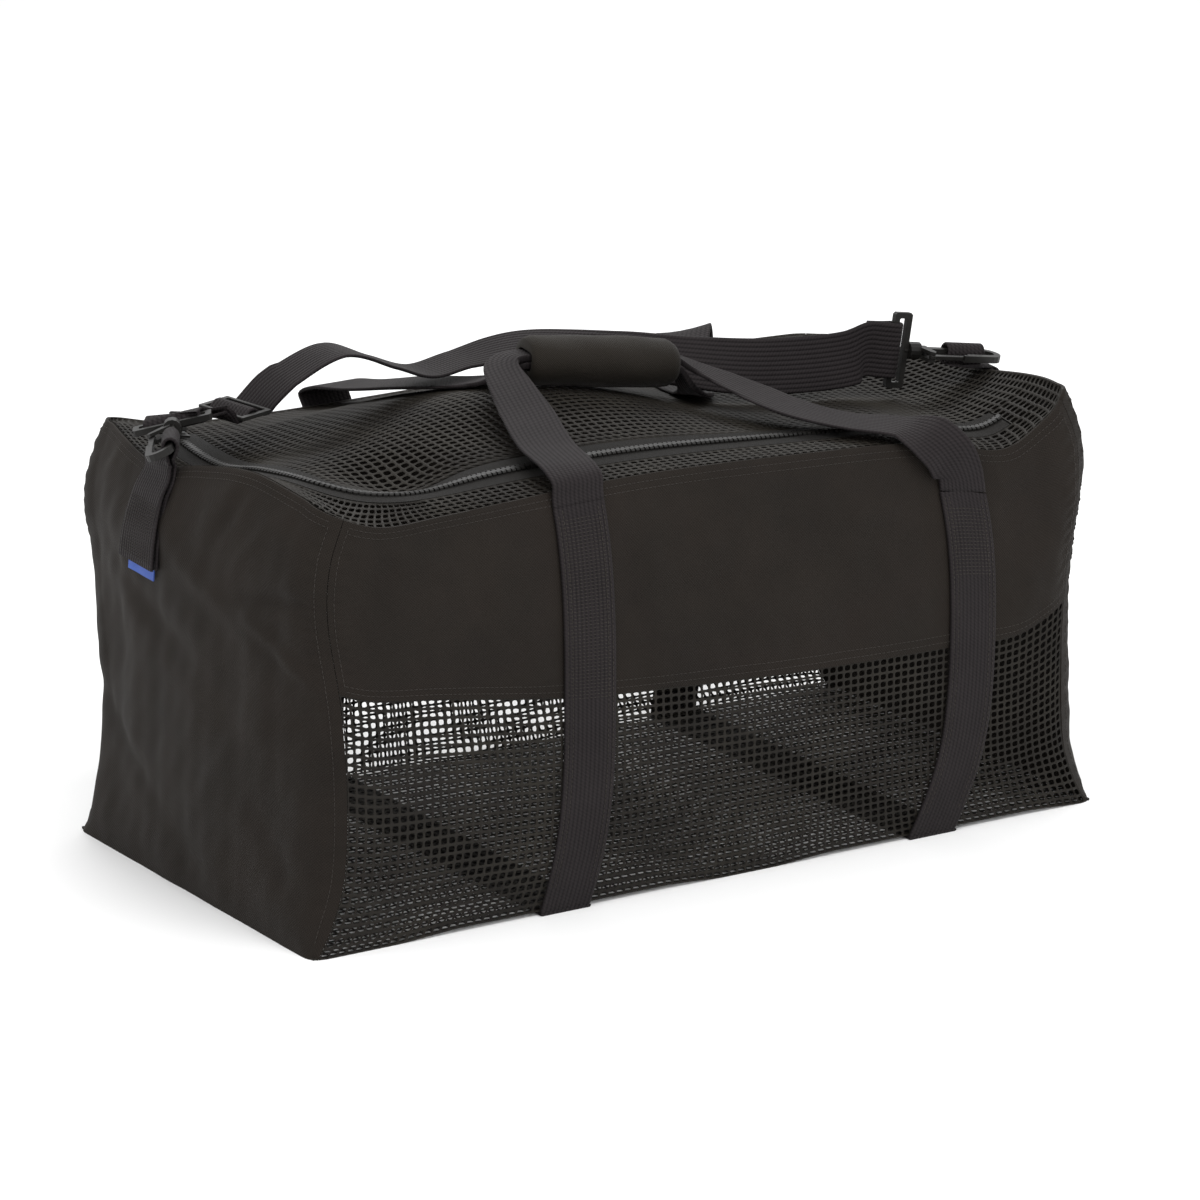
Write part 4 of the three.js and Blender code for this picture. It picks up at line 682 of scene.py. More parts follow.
# Lid
# A loose net panel inside the L of the zip. It hangs from the rim with low humps and hollows, and narrow net
# margins join the zip's outer tape to the front and left walls.
RIM_MARGIN = 27.0
TAPE_WIDTH = 12.0
TAPE_THICK = 1.2
CHAIN_WIDTH = 7.4
CHAIN_HEIGHT = 4.2
CHAIN_GAP = 0.35
CORNER_RADIUS = 84.0
ZIP_END_SHORT = 40.0
ZIP_BACK_SHORT = 40.0
RIM_LENGTH = BAG_LENGTH * (1 - 2 * 0.027)
RIM_DEPTH = BAG_DEPTH * (1 - 2 * 0.007)
lid_humps = [
    # along, across, reach along, reach across, rise
    (0.34, 0.58, 0.19, 0.3, 0.085),
    (0.5, 0.5, 0.13, 0.25, 0.044),
    (0.17, 0.24, 0.055, 0.1, -0.045),
    (0.88, 0.45, 0.12, 0.3, 0.012),
]


def rim_point(place):
    at = wall_point(place, 1.0)
    along = wall_point(place + 1e-3, 1.0) - wall_point(place - 1e-3, 1.0)
    inward = unit(np.stack([-along[..., 1], along[..., 0], 0 * along[..., 0]], -1))
    return at + inward * (CLOTH_THICK + RIM_CLEAR)


def lid_point(along, across):
    u, v = np.broadcast_arrays(np.clip(along, 0, 1), np.clip(across, 0, 1))
    across_share = v[..., None]
    point = rim_point(u) * (1 - across_share) + rim_point(3 - u) * across_share
    corners = [rim_point(np.full(u.shape, float(k))) for k in range(4)]
    left = rim_point(4 - v) - (corners[0] * (1 - across_share) + corners[3] * across_share)
    right = rim_point(1 + v) - (corners[1] * (1 - across_share) + corners[2] * across_share)
    point = point + left * ((1 - u) ** 3)[..., None] + right * (u**3)[..., None]
    window = np.minimum(1, 12 * u * (1 - u)) * np.minimum(1, 7 * v * (1 - v))
    hump = sum(rise * np.exp(-(((u - a) / ra) ** 2) - ((v - b) / rb) ** 2) for a, b, ra, rb, rise in lid_humps)
    point[..., 2] += hump * window * WALL_HEIGHT
    return point


def lid_at(x, y):
    return lid_point(x / RIM_LENGTH, y / RIM_DEPTH)


ZIP_INNER = RIM_MARGIN + 2 * (TAPE_WIDTH + CHAIN_GAP) + CHAIN_WIDTH
ZIP_RIGHT = RIM_LENGTH - ZIP_END_SHORT
ZIP_BACK = RIM_DEPTH - ZIP_BACK_SHORT
LID_RADIUS = CORNER_RADIUS - ZIP_INNER


def lid_left_edge(y):
    drop = np.maximum(CORNER_RADIUS - y, 0)
    return CORNER_RADIUS - np.sqrt(np.maximum(LID_RADIUS**2 - drop**2, 0)) + SEAM_GAP


def lid_surface(u, v):
    y = ZIP_INNER + (RIM_DEPTH - ZIP_INNER) * v
    start = lid_left_edge(y)
    return lid_at(start + (RIM_LENGTH - start) * u, y)


add_net("lid_open_net", "lid_net", lid_surface, RIM_LENGTH - ZIP_INNER, RIM_DEPTH - ZIP_INNER)


def margin_place(run, depth):
    """A place in the front margin: run along the rim from the bag's corner, and depth in from the rim"""
    angle = (1 - np.minimum(run / CORNER_RADIUS, 1)) * math.pi / 4
    radius = CORNER_RADIUS - RIM_MARGIN + RIM_CLEAR
    round_x = CORNER_RADIUS - radius * np.sin(angle)
    round_y = CORNER_RADIUS - radius * np.cos(angle)
    share = depth / RIM_MARGIN
    turned = run < CORNER_RADIUS
    x = np.where(turned, run + (round_x - run) * share, run)
    return x, np.where(turned, round_y * share, depth)


def front_margin(u, v):
    return lid_at(*margin_place(u * RIM_LENGTH, v * RIM_MARGIN))


def left_margin(u, v):
    y, x = margin_place((1 - u) * RIM_DEPTH, v * RIM_MARGIN)
    return lid_at(x, y)


# Past the zip's ends each margin widens until it reaches the lid's net
END_CLEAR = 1.2
front_end = ZIP_RIGHT + END_CLEAR
left_end = ZIP_BACK + END_CLEAR
across_zip = ZIP_INNER - 2 * SEAM_GAP - RIM_MARGIN


def front_scrap(u, v):
    return lid_at(front_end + (RIM_LENGTH - front_end) * u, RIM_MARGIN + across_zip * v)


def left_scrap(u, v):
    return lid_at(RIM_MARGIN + across_zip * v, RIM_DEPTH - (RIM_DEPTH - left_end) * u)


margins = [
    ("front", front_margin, RIM_LENGTH, front_scrap, RIM_LENGTH - front_end, "front_band"),
    ("left", left_margin, RIM_DEPTH, left_scrap, RIM_DEPTH - left_end, "left_end"),
]
for side, surface, length, scrap_surface, scrap_length, wall in margins:
    scrap = add_net(side + "_margin_end_net", side + "_rim_net", scrap_surface, scrap_length, across_zip)
    add_net(side + "_margin_net", side + "_rim_net", surface, length, RIM_MARGIN)

# Zip
# A coarse moulded zip in an L, from the right along the front rim and round the corner along the left end.
# Teeth of acetal clasp a woven tape on each side, which lies edge to edge with the nets.
TOOTH_PITCH = 3.6
TOOTH_LONG = 2.5
SLIDER_LENGTH = 17.0


def zip_route(distance, station):
    radius = CORNER_RADIUS - distance
    angle = (station - 1) * math.pi / 2
    first = ZIP_RIGHT - station * (ZIP_RIGHT - CORNER_RADIUS)
    third = CORNER_RADIUS + (station - 2) * (ZIP_BACK - CORNER_RADIUS)
    x = np.where(station <= 1, first, np.where(station >= 2, distance, CORNER_RADIUS - radius * np.sin(angle)))
    y = np.where(station <= 1, distance, np.where(station >= 2, third, CORNER_RADIUS - radius * np.cos(angle)))
    return x, y


def zip_surface(station, distance):
    station, distance = np.broadcast_arrays(np.asarray(station, float), np.asarray(distance, float))
    return lid_at(*zip_route(distance, station))


def zip_stations(step, distance):
    """Stations along the zip at an even step in millimetres"""
    fine = np.linspace(0, 3, 1200)
    length = run_length(zip_surface(fine, distance))
    return np.interp(np.arange(0, length[-1], step), length, fine)


# The lighter colour is worn tone and also the painted highlight on the thread crests
zip_tape_cloth = woven("zip_tape_cloth", 0x11100F, 0x1C1A18, 0.0014, 0.7, 0.02, 0.45)
CHAIN_FROM = RIM_MARGIN + TAPE_WIDTH + 2 * CHAIN_GAP
CHAIN_TO = CHAIN_FROM + CHAIN_WIDTH - 2 * CHAIN_GAP
CHAIN_MIDDLE = (CHAIN_FROM + CHAIN_TO) / 2
# The tape's inner edge runs under the teeth, where its cord carries them
CORD_GAP = 0.8
TAPES = [
    ("outer", RIM_MARGIN + CHAIN_GAP, CHAIN_MIDDLE - CORD_GAP),
    ("inner", CHAIN_MIDDLE + CORD_GAP, ZIP_INNER - CHAIN_GAP),
]
for side, low, high in TAPES:
    stations = zip_stations(4.0, CHAIN_MIDDLE)
    across = np.linspace(-high, -low, 7)
    u, v = np.meshgrid(stations, across, indexing="ij")
    place = zip_surface(u, -v)
    normal = normal_of(lambda station, turned: zip_surface(station, -turned), u, v)
    points, quads = shell(place, normal, -TAPE_THICK, 0.0)
    piece = make_piece("zip_tape_" + side + "_woven", points, [quads], flat_places(place), zip_tape_cloth)
    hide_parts("zip_tape_" + side)

acetal, tree = empty_material("moulded_acetal")
spot = add_node(tree, "ShaderNodeTexCoord")
grain = add_node(tree, "ShaderNodeTexNoise", {"Scale": 700.0, "Detail": 2.0}, {"Vector": (spot, "Object")})
scuff = add_node(tree, "ShaderNodeTexNoise", {"Scale": 60.0, "Detail": 5.0}, {"Vector": (spot, "Object")})
bump = add_node(tree, "ShaderNodeBump", {"Strength": 0.15, "Distance": 0.0002}, {"Height": (grain, "Fac")})
tone = add_node(tree, "ShaderNodeValToRGB", {}, {"Fac": (scuff, "Fac")})
set_ramp(tone, (0.35, 0x131211), (0.8, 0x21201E))
rough = add_node(tree, "ShaderNodeMapRange", {"To Min": 0.38, "To Max": 0.54}, {"Value": (scuff, "Fac")})
finish = {"Base Color": (tone, "Color"), "Roughness": (rough, "Result"), "Normal": (bump, "Normal")}
skin = add_node(tree, "ShaderNodeBsdfPrincipled", {"IOR": 1.48, "Specular IOR Level": 0.24}, finish)
add_node(tree, "ShaderNodeOutputMaterial", {}, {"Surface": (skin, "BSDF")})

# One tooth: a block with chamfered ends, whose head grips between two teeth of the other side
TOOTH = []
for y, narrowed, lowered in ((-1, 1, 0.62), (-0.55, 1, 1), (0.75, 0.8, 1), (1, 0.5, 0.6)):
    TOOTH += [(x * narrowed, y, z * lowered) for x, z in ((-1, -1), (1, -1), (1, 1), (-1, 1))]
TOOTH = np.array(TOOTH)
TOOTH_FACES = [(0, 1, 2, 3), (15, 14, 13, 12)]
for k in (0, 4, 8):
    TOOTH_FACES += [(k + i, k + 4 + i, k + 4 + (i + 1) % 4, k + (i + 1) % 4) for i in range(4)]

stations = zip_stations(TOOTH_PITCH / 2, CHAIN_MIDDLE)
stations = stations[stations < 3 - 2 * SLIDER_LENGTH / (ZIP_BACK - CORNER_RADIUS) / 2]
along = unit(zip_surface(stations + 1e-3, CHAIN_MIDDLE) - zip_surface(stations - 1e-3, CHAIN_MIDDLE))
out = normal_of(zip_surface, stations, CHAIN_MIDDLE)
out = out * np.sign(out[:, 2:3])
hand = np.where(np.arange(len(stations)) % 2 == 0, 1.0, -1.0)[:, None]
across = unit(np.cross(out, along)) * hand
place = zip_surface(stations, CHAIN_MIDDLE) - across * CHAIN_WIDTH * 0.13
sizes = (TOOTH_LONG / 2, CHAIN_WIDTH * 0.36, CHAIN_HEIGHT / 2)
points, quads = repeated(place, [along * hand, across, out], TOOTH, TOOTH_FACES, sizes)
teeth = make_piece("zip_teeth", points, [quads], None, acetal, smooth=False)
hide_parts("zip_chain")


def moulded(node, body, width=0.35, segments=2):
    """A moulded piece takes its solid's own shape, with the small edge rounding of its mould"""
    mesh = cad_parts[node].data.copy()
    mesh.name = node + "_moulded"
    mesh.materials.clear()
    mesh.materials.append(acetal)
    piece = bpy.data.objects.new(node + "_moulded", mesh)
    bpy.context.scene.collection.objects.link(piece)
    weld = piece.modifiers.new("weld", "WELD")
    weld.merge_threshold = 0.01 * MM
    rounding = piece.modifiers.new("rounding", "BEVEL")
    rounding.width = width * MM
    rounding.segments = segments
    rounding.angle_limit = math.radians(28)
    rounding.harden_normals = False
    for polygon in mesh.polygons:
        polygon.use_smooth = False
    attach(piece, body)
    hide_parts(node)
    return piece


moulded("zip_slider", "root", 0.3)
moulded("zip_pull", "zip_pull", 0.5, 3)

# Carry straps
# Wide ribbed webbing, sewn flat up each long side with two rows of stitches at each edge and run under the
# base. Above the rim it is free and is folded in two through the grip.
SEAM_STEP = 2 * SEAM_GAP / WALL_HEIGHT
RIBS = 12
# Real picks are 1.1 mm apart; they are drawn at 2.4 mm so that they show
PICK_DRAWN = 0.0024
LEG_TOPS = {"left": 1.92, "right": 1.76}


def webbing_material(name, colour, worn_and_crest_lit, width):
    """Filament webbing: long ribs with slanted picks between them; the ribs' crests carry a painted highlight and the
    dips between them painted shade
    """
    material, tree = empty_material(name)
    flat = add_node(tree, "ShaderNodeTexCoord")
    split = add_node(tree, "ShaderNodeSeparateXYZ", {}, {"Vector": (flat, "UV")})
    ribbed = {"operation": "MULTIPLY", 1: math.pi * RIBS / (width * MM)}
    rib_turn = add_node(tree, "ShaderNodeMath", ribbed, {0: (split, "X")})
    rib_wave = add_node(tree, "ShaderNodeMath", {"operation": "SINE"}, {0: (rib_turn, 0)})
    rib = add_node(tree, "ShaderNodeMath", {"operation": "ABSOLUTE"}, {0: (rib_wave, 0)})
    slanted = {"operation": "MULTIPLY_ADD", 1: 0.6}
    slant = add_node(tree, "ShaderNodeMath", slanted, {0: (split, "X"), 2: (split, "Y")})
    picked = {"operation": "MULTIPLY", 1: 2 * math.pi / PICK_DRAWN}
    pick_turn = add_node(tree, "ShaderNodeMath", picked, {0: (slant, 0)})
    pick = add_node(tree, "ShaderNodeMath", {"operation": "SINE"}, {0: (pick_turn, 0)})
    raised = {"operation": "MULTIPLY_ADD", 1: 0.22}
    height = add_node(tree, "ShaderNodeMath", raised, {0: (pick, 0), 2: (rib, 0)})
    bump = add_node(tree, "ShaderNodeBump", {"Strength": 0.6, "Distance": 0.0007}, {"Height": (height, 0)})
    clouds = add_node(tree, "ShaderNodeTexNoise", {"Scale": 30.0, "Detail": 4.0}, {"Vector": (flat, "Object")})
    # The ribs' height also sets the colour: rib crests are painted lighter as a painted highlight and the picks
    # between them darker as painted shade, while the clouds give a random worn tone
    shade = {"From Min": -0.1, "From Max": 1.2, "To Max": 0.62}
    depth = add_node(tree, "ShaderNodeMapRange", shade, {"Value": (height, 0)})
    clouded = {"operation": "MULTIPLY_ADD", 1: 0.45}
    blend = add_node(tree, "ShaderNodeMath", clouded, {0: (clouds, "Fac"), 2: (depth, "Result")})
    ramp = add_node(tree, "ShaderNodeValToRGB", {}, {"Fac": (blend, 0)})
    set_ramp(ramp, (0.2, colour), (0.9, worn_and_crest_lit))
    fibre = {"Roughness": 0.68, "IOR": 1.52, "Specular IOR Level": 0.1, "Sheen Weight": 0.015}
    fibre["Sheen Roughness"] = 0.4
    finish = {"Base Color": (ramp, "Color"), "Normal": (bump, "Normal")}
    surface = add_node(tree, "ShaderNodeBsdfPrincipled", fibre, finish)
    add_node(tree, "ShaderNodeOutputMaterial", {}, {"Surface": (surface, "BSDF")})
    return material


# The lighter colour is worn tone and also the painted highlight on the rib crests
carry_webbing = webbing_material("carry_webbing", 0x151213, 0x282425, CARRY_WIDTH)
WEB_COLUMNS = np.array([0, 0.012, 0.035, 0.1, 0.2, 0.3, 0.4, 0.5, 0.6, 0.7, 0.8, 0.9, 0.965, 0.988, 1.0])
# The woven edges of webbing are thinner than its middle
WEB_EDGE = np.interp(WEB_COLUMNS, [0, 0.012, 0.035, 0.965, 0.988, 1], [0.25, 0.7, 1, 1, 0.7, 0.25])


def band_piece(name, place, wide, face, width, thick, material, node):
    """A strap from its middle line, the direction across it, the one its thickness stands in, and its sizes"""
    width, thick = np.broadcast_to(width, len(place)), np.broadcast_to(thick, len(place))
    grid = place[:, None] + wide[:, None] * (width[:, None, None] * (WEB_COLUMNS - 0.5)[None, :, None])
    normal = np.broadcast_to(face[:, None], grid.shape)
    half = thick[:, None] / 2 * WEB_EDGE[None]
    points, quads = shell(grid, normal, -half, half)
    run = run_length(place) * MM
    across = (WEB_COLUMNS - 0.5)[None] * width[:, None] * MM
    flat = np.stack([across, np.broadcast_to(run[:, None], across.shape)], -1).reshape(-1, 2)
    piece = make_piece(name, points, [quads], np.tile(flat, (2, 1)), material)
    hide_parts(node)


def leg_point(side, hand, share, row):
    first, way = (0, 1) if side == "front" else (2, -1)
    share, row = np.broadcast_arrays(np.asarray(share, float), np.asarray(row, float))
    lean = from_table(leg_lean, "row", hand, row)
    target = STRAP_X[hand] + (lean + way * share) * CARRY_WIDTH
    place = np.full(row.shape, first + 0.5)
    for _ in range(6):
        place = place + way * (target - side_point(place, row)[..., 0]) / BAG_LENGTH
    return side_point(place, row), normal_of(side_point, place, row)


for side in ("front", "back"):
    for hand in ("left", "right"):
        rows = np.concatenate([[0, 0.012, 0.03, 0.06], np.linspace(0.1, LEG_TOPS[hand] + SEAM_STEP, 60)])
        share, row = np.meshgrid(WEB_COLUMNS - 0.5, rows)
        place, normal = leg_point(side, hand, share.T, row.T)
        place[..., 2] = np.maximum(place[..., 2], WEB_THICK + SEAM_GAP)
        edge = WEB_EDGE[:, None]
        middle = STITCH_GAP + WEB_THICK / 2
        points, quads = shell(place, normal, middle - edge * WEB_THICK / 2, middle + edge * WEB_THICK / 2)
        run = run_length(place[len(WEB_COLUMNS) // 2]) * MM
        across = (WEB_COLUMNS - 0.5) * CARRY_WIDTH * MM
        flat = np.stack(np.meshgrid(across, run, indexing="ij"), -1).reshape(-1, 2)
        name = f"{side}_{hand}_leg"
        piece = make_piece(name + "_webbing", points, [quads], np.tile(flat, (2, 1)), carry_webbing)
        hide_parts(name)

# The legs' edges are sewn with two rows each, and both front legs are darned to the band with close short
# stitches across the ribs. Real rows are 1.2 mm apart; they are drawn at 2.2 mm so that they show.
EDGE_ROWS = (2.6, 6.0)
DARN_STEP = 2.2
DARN_COLUMNS = 11
DARN_LONG = 2.1
DARNED = {"left": (1.0, 1.86), "right": (1.36, 1.68)}
DARN_SPREAD = 0.8
BAND_SHARE = 0.93
EDGE_FROM = 0.12
SEWN_FACE = STITCH_GAP + WEB_THICK


def leg_face(side, hand):
    def surface(share, row):
        place, normal = leg_point(side, hand, share, row)
        return place + normal * SEWN_FACE

    return surface


for side in ("front", "back"):
    for hand in ("left", "right"):
        surface, top = leg_face(side, hand), LEG_TOPS[hand] - 0.02
        way = -1 if side == "front" else 1
        upright = lambda row, share, s=surface, w=way: s(w * share, row)
        edges = [hand_side * (0.5 - inset / CARRY_WIDTH) * way for hand_side in (-1, 1) for inset in EDGE_ROWS]
        runs = [stitch_row(upright, (EDGE_FROM, share), (top, share)) for share in edges]
        low, high = DARNED[hand]
        height = (high - low) * ROW_HEIGHT * BAND_SHARE
        step = DARN_SPREAD * CARRY_WIDTH / DARN_COLUMNS
        for row in np.linspace(low, high, int(height / DARN_STEP)):
            reach = DARN_SPREAD / 2
            runs.append(stitch_row(surface, (-reach, row), (reach, row), step, DARN_LONG))
        sewn(f"{side}_{hand}_leg_stitches", runs)

for hand in ("left", "right"):
    reach = BAG_DEPTH / 2 + STITCH_GAP + WEB_THICK
    place = np.array([(STRAP_X[hand], y, WEB_THICK / 2) for y in np.linspace(-reach, reach, 60)])
    wide, face = (np.tile(way, (60, 1)) for way in ((1.0, 0.0, 0.0), (0.0, 0.0, 1.0)))
    node = hand + "_under_strap"
    band_piece(hand + "_under_webbing", place, wide, face, CARRY_WIDTH, WEB_THICK, carry_webbing, node)


def v3(*numbers):
    return np.array(numbers, float)


def place_at(along, across, rise):
    return v3(BAG_LENGTH * along, BAG_DEPTH * across, WALL_HEIGHT * rise)


def width_way(turn, tilt=0.0):
    heading, slope = math.radians(turn), math.radians(tilt)
    return v3(math.sin(heading) * math.cos(slope), math.cos(heading) * math.cos(slope), math.sin(slope))


def curve_through(points):
    """A centripetal curve through points, as a function from 0 at the first to n at the last"""
    points = np.asarray(points, float)
    last = len(points) - 1

    def at(t):
        k = min(int(t), last - 1)
        w = t - k
        p1, p2 = points[k], points[k + 1]
        p0 = points[k - 1] if k > 0 else 2 * p1 - p2
        p3 = points[k + 2] if k + 2 <= last else 2 * p2 - p1
        d0, d1, d2 = (max(np.linalg.norm(b - a), 1e-4) ** 0.5 for a, b in ((p0, p1), (p1, p2), (p2, p3)))
        t1 = ((p1 - p0) / d0 - (p2 - p0) / (d0 + d1) + (p2 - p1) / d1) * d1
        t2 = ((p2 - p1) / d1 - (p3 - p1) / (d1 + d2) + (p3 - p2) / d2) * d1
        c2, c3 = -3 * p1 + 3 * p2 - 2 * t1 - t2, 2 * p1 - 2 * p2 + t1 + t2
        return p1 + t1 * w + c2 * w**2 + c3 * w**3

    return at


def routed_band(rows, step=3.0):
    """A strap's middle line and directions from rows of at, wide, width, thick, steps and, where it is held, face"""
    last = len(rows) - 1
    curve = curve_through([row["at"] for row in rows])
    marks = []
    for k, row in enumerate(rows):
        steps = row["steps"] if k < last else 1
        for s in range(steps):
            share, following = s / steps, rows[min(k + 1, last)]
            t = k + share
            tangent = unit(curve(min(t + 1e-3, last)) - curve(max(t - 1e-3, 0)))
            wide = row["wide"] + (following["wide"] - row["wide"]) * share
            face = row.get("face")
            if face is None:
                wide = unit(wide - tangent * (wide @ tangent))
                face = unit(np.cross(tangent, wide))
            sizes = [row[key] + (following[key] - row[key]) * share for key in ("width", "thick")]
            marks.append((t, wide, face, *sizes))
    frames = []
    for low, high in zip(marks[:-1], marks[1:]):
        length = np.linalg.norm(curve(high[0]) - curve(low[0]))
        for share in np.arange(0, 1, 1 / max(1, round(length / step))):
            wide = unit(low[1] + (high[1] - low[1]) * share)
            face = low[2] + (high[2] - low[2]) * share
            face = unit(face - wide * (face @ wide))
            sizes = [low[k] + (high[k] - low[k]) * share for k in (3, 4)]
            frames.append((curve(low[0] + (high[0] - low[0]) * share), wide, face, *sizes))
    frames.append((curve(last), *marks[-1][1:]))
    return [np.array(column) for column in zip(*frames)]


# Handles and grip
# Both handles are the same webbing as the legs. A padded sleeve of woven cloth wraps them where the hand holds
# them, and they run through it folded in two, one above the other.
GRIP_LENGTH = 105.0
GRIP_DEPTH = 40.0
GRIP_HEIGHT = 33.0
GRIP_RIM = 3.0
FOLD_GAP = 0.7
HANDLE_FOOT = 0.06
UP = v3(0, 0, 1)
grip_from = place_at(-0.0754, 0.019, 1.122)
grip_to = place_at(0.0951, -0.035, 1.078)
grip_axis = unit(grip_to - grip_from)
grip_side = unit(np.cross(UP, grip_axis))
grip_up = np.cross(grip_axis, grip_side)
HANDLE_COLUMNS = "along across rise turn tilt width layers steps".split()
handle_routes = {
    "front": (
        [
            (-0.178, -0.506, 1.003, 90, 0, 1, 1, 1),
            (-0.177, -0.472, 1.023, 93, 0, 1, 1, 2),
            (-0.166, -0.349, 1.04, 102, 0, 1, 1, 2),
            (-0.145, -0.21, 1.072, 110, 0, 0.96, 1, 2),
            (-0.127, -0.085, 1.106, 112, 0, 0.78, 1, 1),
            (-0.112, -0.006, 1.125, 132, 0, 0.6, 1.4, 1),
            (-0.0965, 0.018, 1.13, 162, 0, 0.5, 2, 1),
        ],
        [
            (0.117, -0.06, 1.066, 218, 0, 0.5, 1.6, 1),
            (0.134, -0.115, 1.048, 238, 0, 0.7, 1, 2),
            (0.152, -0.197, 1.026, 240, 0, 0.9, 1, 2),
            (0.171, -0.292, 1.006, 232, 0, 1, 1, 2),
            (0.207, -0.378, 0.988, 224, 0, 1, 1, 2),
            (0.246, -0.46, 0.983, 222, -5, 1, 1, 2),
            (0.272, -0.506, 0.956, 244, -37, 1, 1, 2),
            (0.292, -0.5165, 0.909, 266, -30, 1, 1, 1),
        ],
    ),
    "back": (
        [
            (-0.179, 0.515, 0.962, 90, 0, 1, 1, 1),
            (-0.178, 0.478, 0.982, 88, 0, 1, 1, 2),
            (-0.167, 0.38, 1.0, 80, 0, 1, 1, 2),
            (-0.14, 0.25, 1.03, 66, 0, 1, 1, 2),
            (-0.115, 0.155, 1.046, 64, 0, 0.85, 1, 2),
            (-0.101, 0.08, 1.068, 58, 0, 0.6, 1.4, 1),
            (-0.092, 0.036, 1.1, 36, 0, 0.5, 2, 1),
        ],
        [
            (0.11, -0.046, 1.022, -4, 0, 0.5, 1.8, 1),
            (0.122, -0.034, 0.999, -24, 0, 0.55, 1.2, 1),
            (0.143, 0.022, 0.9755, -50, 0, 0.75, 1, 2),
            (0.166, 0.13, 0.96, -62, 0, 0.95, 1, 2),
            (0.198, 0.27, 0.952, -66, 0, 1, 1, 2),
            (0.252, 0.41, 0.956, -62, 0, 1, 1, 2),
            (0.299, 0.52, 0.958, -80, 0, 1, 1, 2),
        ],
    ),
}
for side, shown in (("front", 1), ("back", -1)):
    layer = grip_up * shown * (2 * WEB_THICK + FOLD_GAP) / 2

    def routed(values):
        row = dict(zip(HANDLE_COLUMNS, values))
        return {
            "at": place_at(row["along"], row["across"], row["rise"]),
            "wide": width_way(row["turn"], row["tilt"]),
            "width": row["width"] * CARRY_WIDTH,
            "thick": row["layers"] * WEB_THICK,
            "steps": row["steps"],
        }

    def leg_end(hand, way):
        found = []
        for k, past in enumerate((SEAM_STEP, HANDLE_FOOT)):
            row = LEG_TOPS[hand] + past
            place, normal = leg_point(side, hand, 0, row)
            wide = unit(leg_point(side, hand, 0.5, row)[0] - leg_point(side, hand, -0.5, row)[0])
            at = place + normal * (STITCH_GAP + WEB_THICK / 2 + 3 * k * STITCH_GAP)
            held = {"wide": wide * way * shown, "face": -normal * shown, "steps": 1}
            found.append({"at": at, "width": CARRY_WIDTH, "thick": WEB_THICK, **held})
        return found

    in_grip = [
        {
            "at": grip_from + grip_axis * run + layer,
            "wide": -grip_side * shown,
            "face": -grip_up * shown,
            "width": CARRY_WIDTH / 2,
            "thick": 2 * WEB_THICK,
            "steps": 1,
        }
        for run in (-GRIP_RIM, GRIP_RIM, GRIP_LENGTH / 2, GRIP_LENGTH - GRIP_RIM, GRIP_LENGTH + GRIP_RIM)
    ]
    rising, falling = handle_routes[side]
    rows = leg_end("left", 1) + [routed(row) for row in rising] + in_grip
    rows += [routed(row) for row in falling] + leg_end("right", -1)[::-1]
    at, wide, face, width, thick = routed_band(rows)
    band_piece(side + "_handle_webbing", at, wide, face, width, thick, carry_webbing, side + "_handle")

# The sleeve is a rolled pad: fuller in the middle, pulled in at both ends, with its flap's edge along the front
GRIP_STATIONS, GRIP_AROUND = 48, 64
share = np.linspace(0, 1, GRIP_STATIONS)
turn = np.linspace(0, 2 * math.pi, GRIP_AROUND, endpoint=False)
s, a = np.meshgrid(share, turn, indexing="ij")
fullness = 1 - 0.07 * (2 * s - 1) ** 4 + 0.015 * np.sin(9 * s + 2 * a) + 0.01 * np.sin(17 * s - 3 * a)
flap = 0.045 * np.clip(1 - (np.mod(a - 4.25, 2 * math.pi)) / 0.5, 0, 1)
outer = fullness + flap
inner_wide, inner_high = CARRY_WIDTH / 4 + 2.5, 2 * WEB_THICK + 2.2
skin = grip_side * (np.cos(a) * outer * GRIP_DEPTH / 2)[..., None]
skin = skin + grip_up * (np.sin(a) * outer * GRIP_HEIGHT / 2)[..., None]
hole = grip_side * (np.sign(np.cos(a)) * abs(np.cos(a)) ** 0.5 * inner_wide)[..., None]
hole = hole + grip_up * (np.sign(np.sin(a)) * abs(np.sin(a)) ** 0.5 * inner_high)[..., None]
spine = grip_from + grip_axis * (s * GRIP_LENGTH)[..., None]
round_end = np.concatenate([[0.72, 0.9], np.ones(GRIP_STATIONS - 4), [0.9, 0.72]])[:, None, None]
rings = np.concatenate([spine + hole + (skin - hole) * round_end, (spine + hole)[::-1]])
count = len(rings)
number = np.arange(count * GRIP_AROUND).reshape(count, GRIP_AROUND)
beside = np.roll(number, -1, axis=1)
quads = np.stack([number, beside, np.roll(beside, -1, 0), np.roll(number, -1, 0)], -1).reshape(-1, 4)
grip_run, grip_turn = np.concatenate([s, s[::-1]]), np.concatenate([a, a[::-1]])
grip_flat = np.stack([grip_run * GRIP_LENGTH, grip_turn * GRIP_HEIGHT / 2], -1)
# The lighter colour is worn tone and also the painted highlight on the thread crests
grip_cloth = woven("grip_cloth", 0x16130F, 0x231F1A, 0.0016, 0.66, 0.03, 0.4)
grip = make_piece("grip_sleeve", rings, [quads], grip_flat.reshape(-1, 2) * MM, grip_cloth)
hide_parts("handle_grip")

# Hooks, loops and gates
# Moulded acetal snap hooks turn on the studs of flat loops that hold the shoulder strap; a thin sprung gate
# closes each hook's bow.
for hand in ("left", "right"):
    for part, rounding in (("loop", 0.8), ("hook", 0.9), ("gate", 0.5)):
        body = hand + "_gate" if part == "gate" else "root"
        moulded(f"{hand}_{part}", body, rounding, 3)
moulded("tri_glide", "root", 0.6, 3)

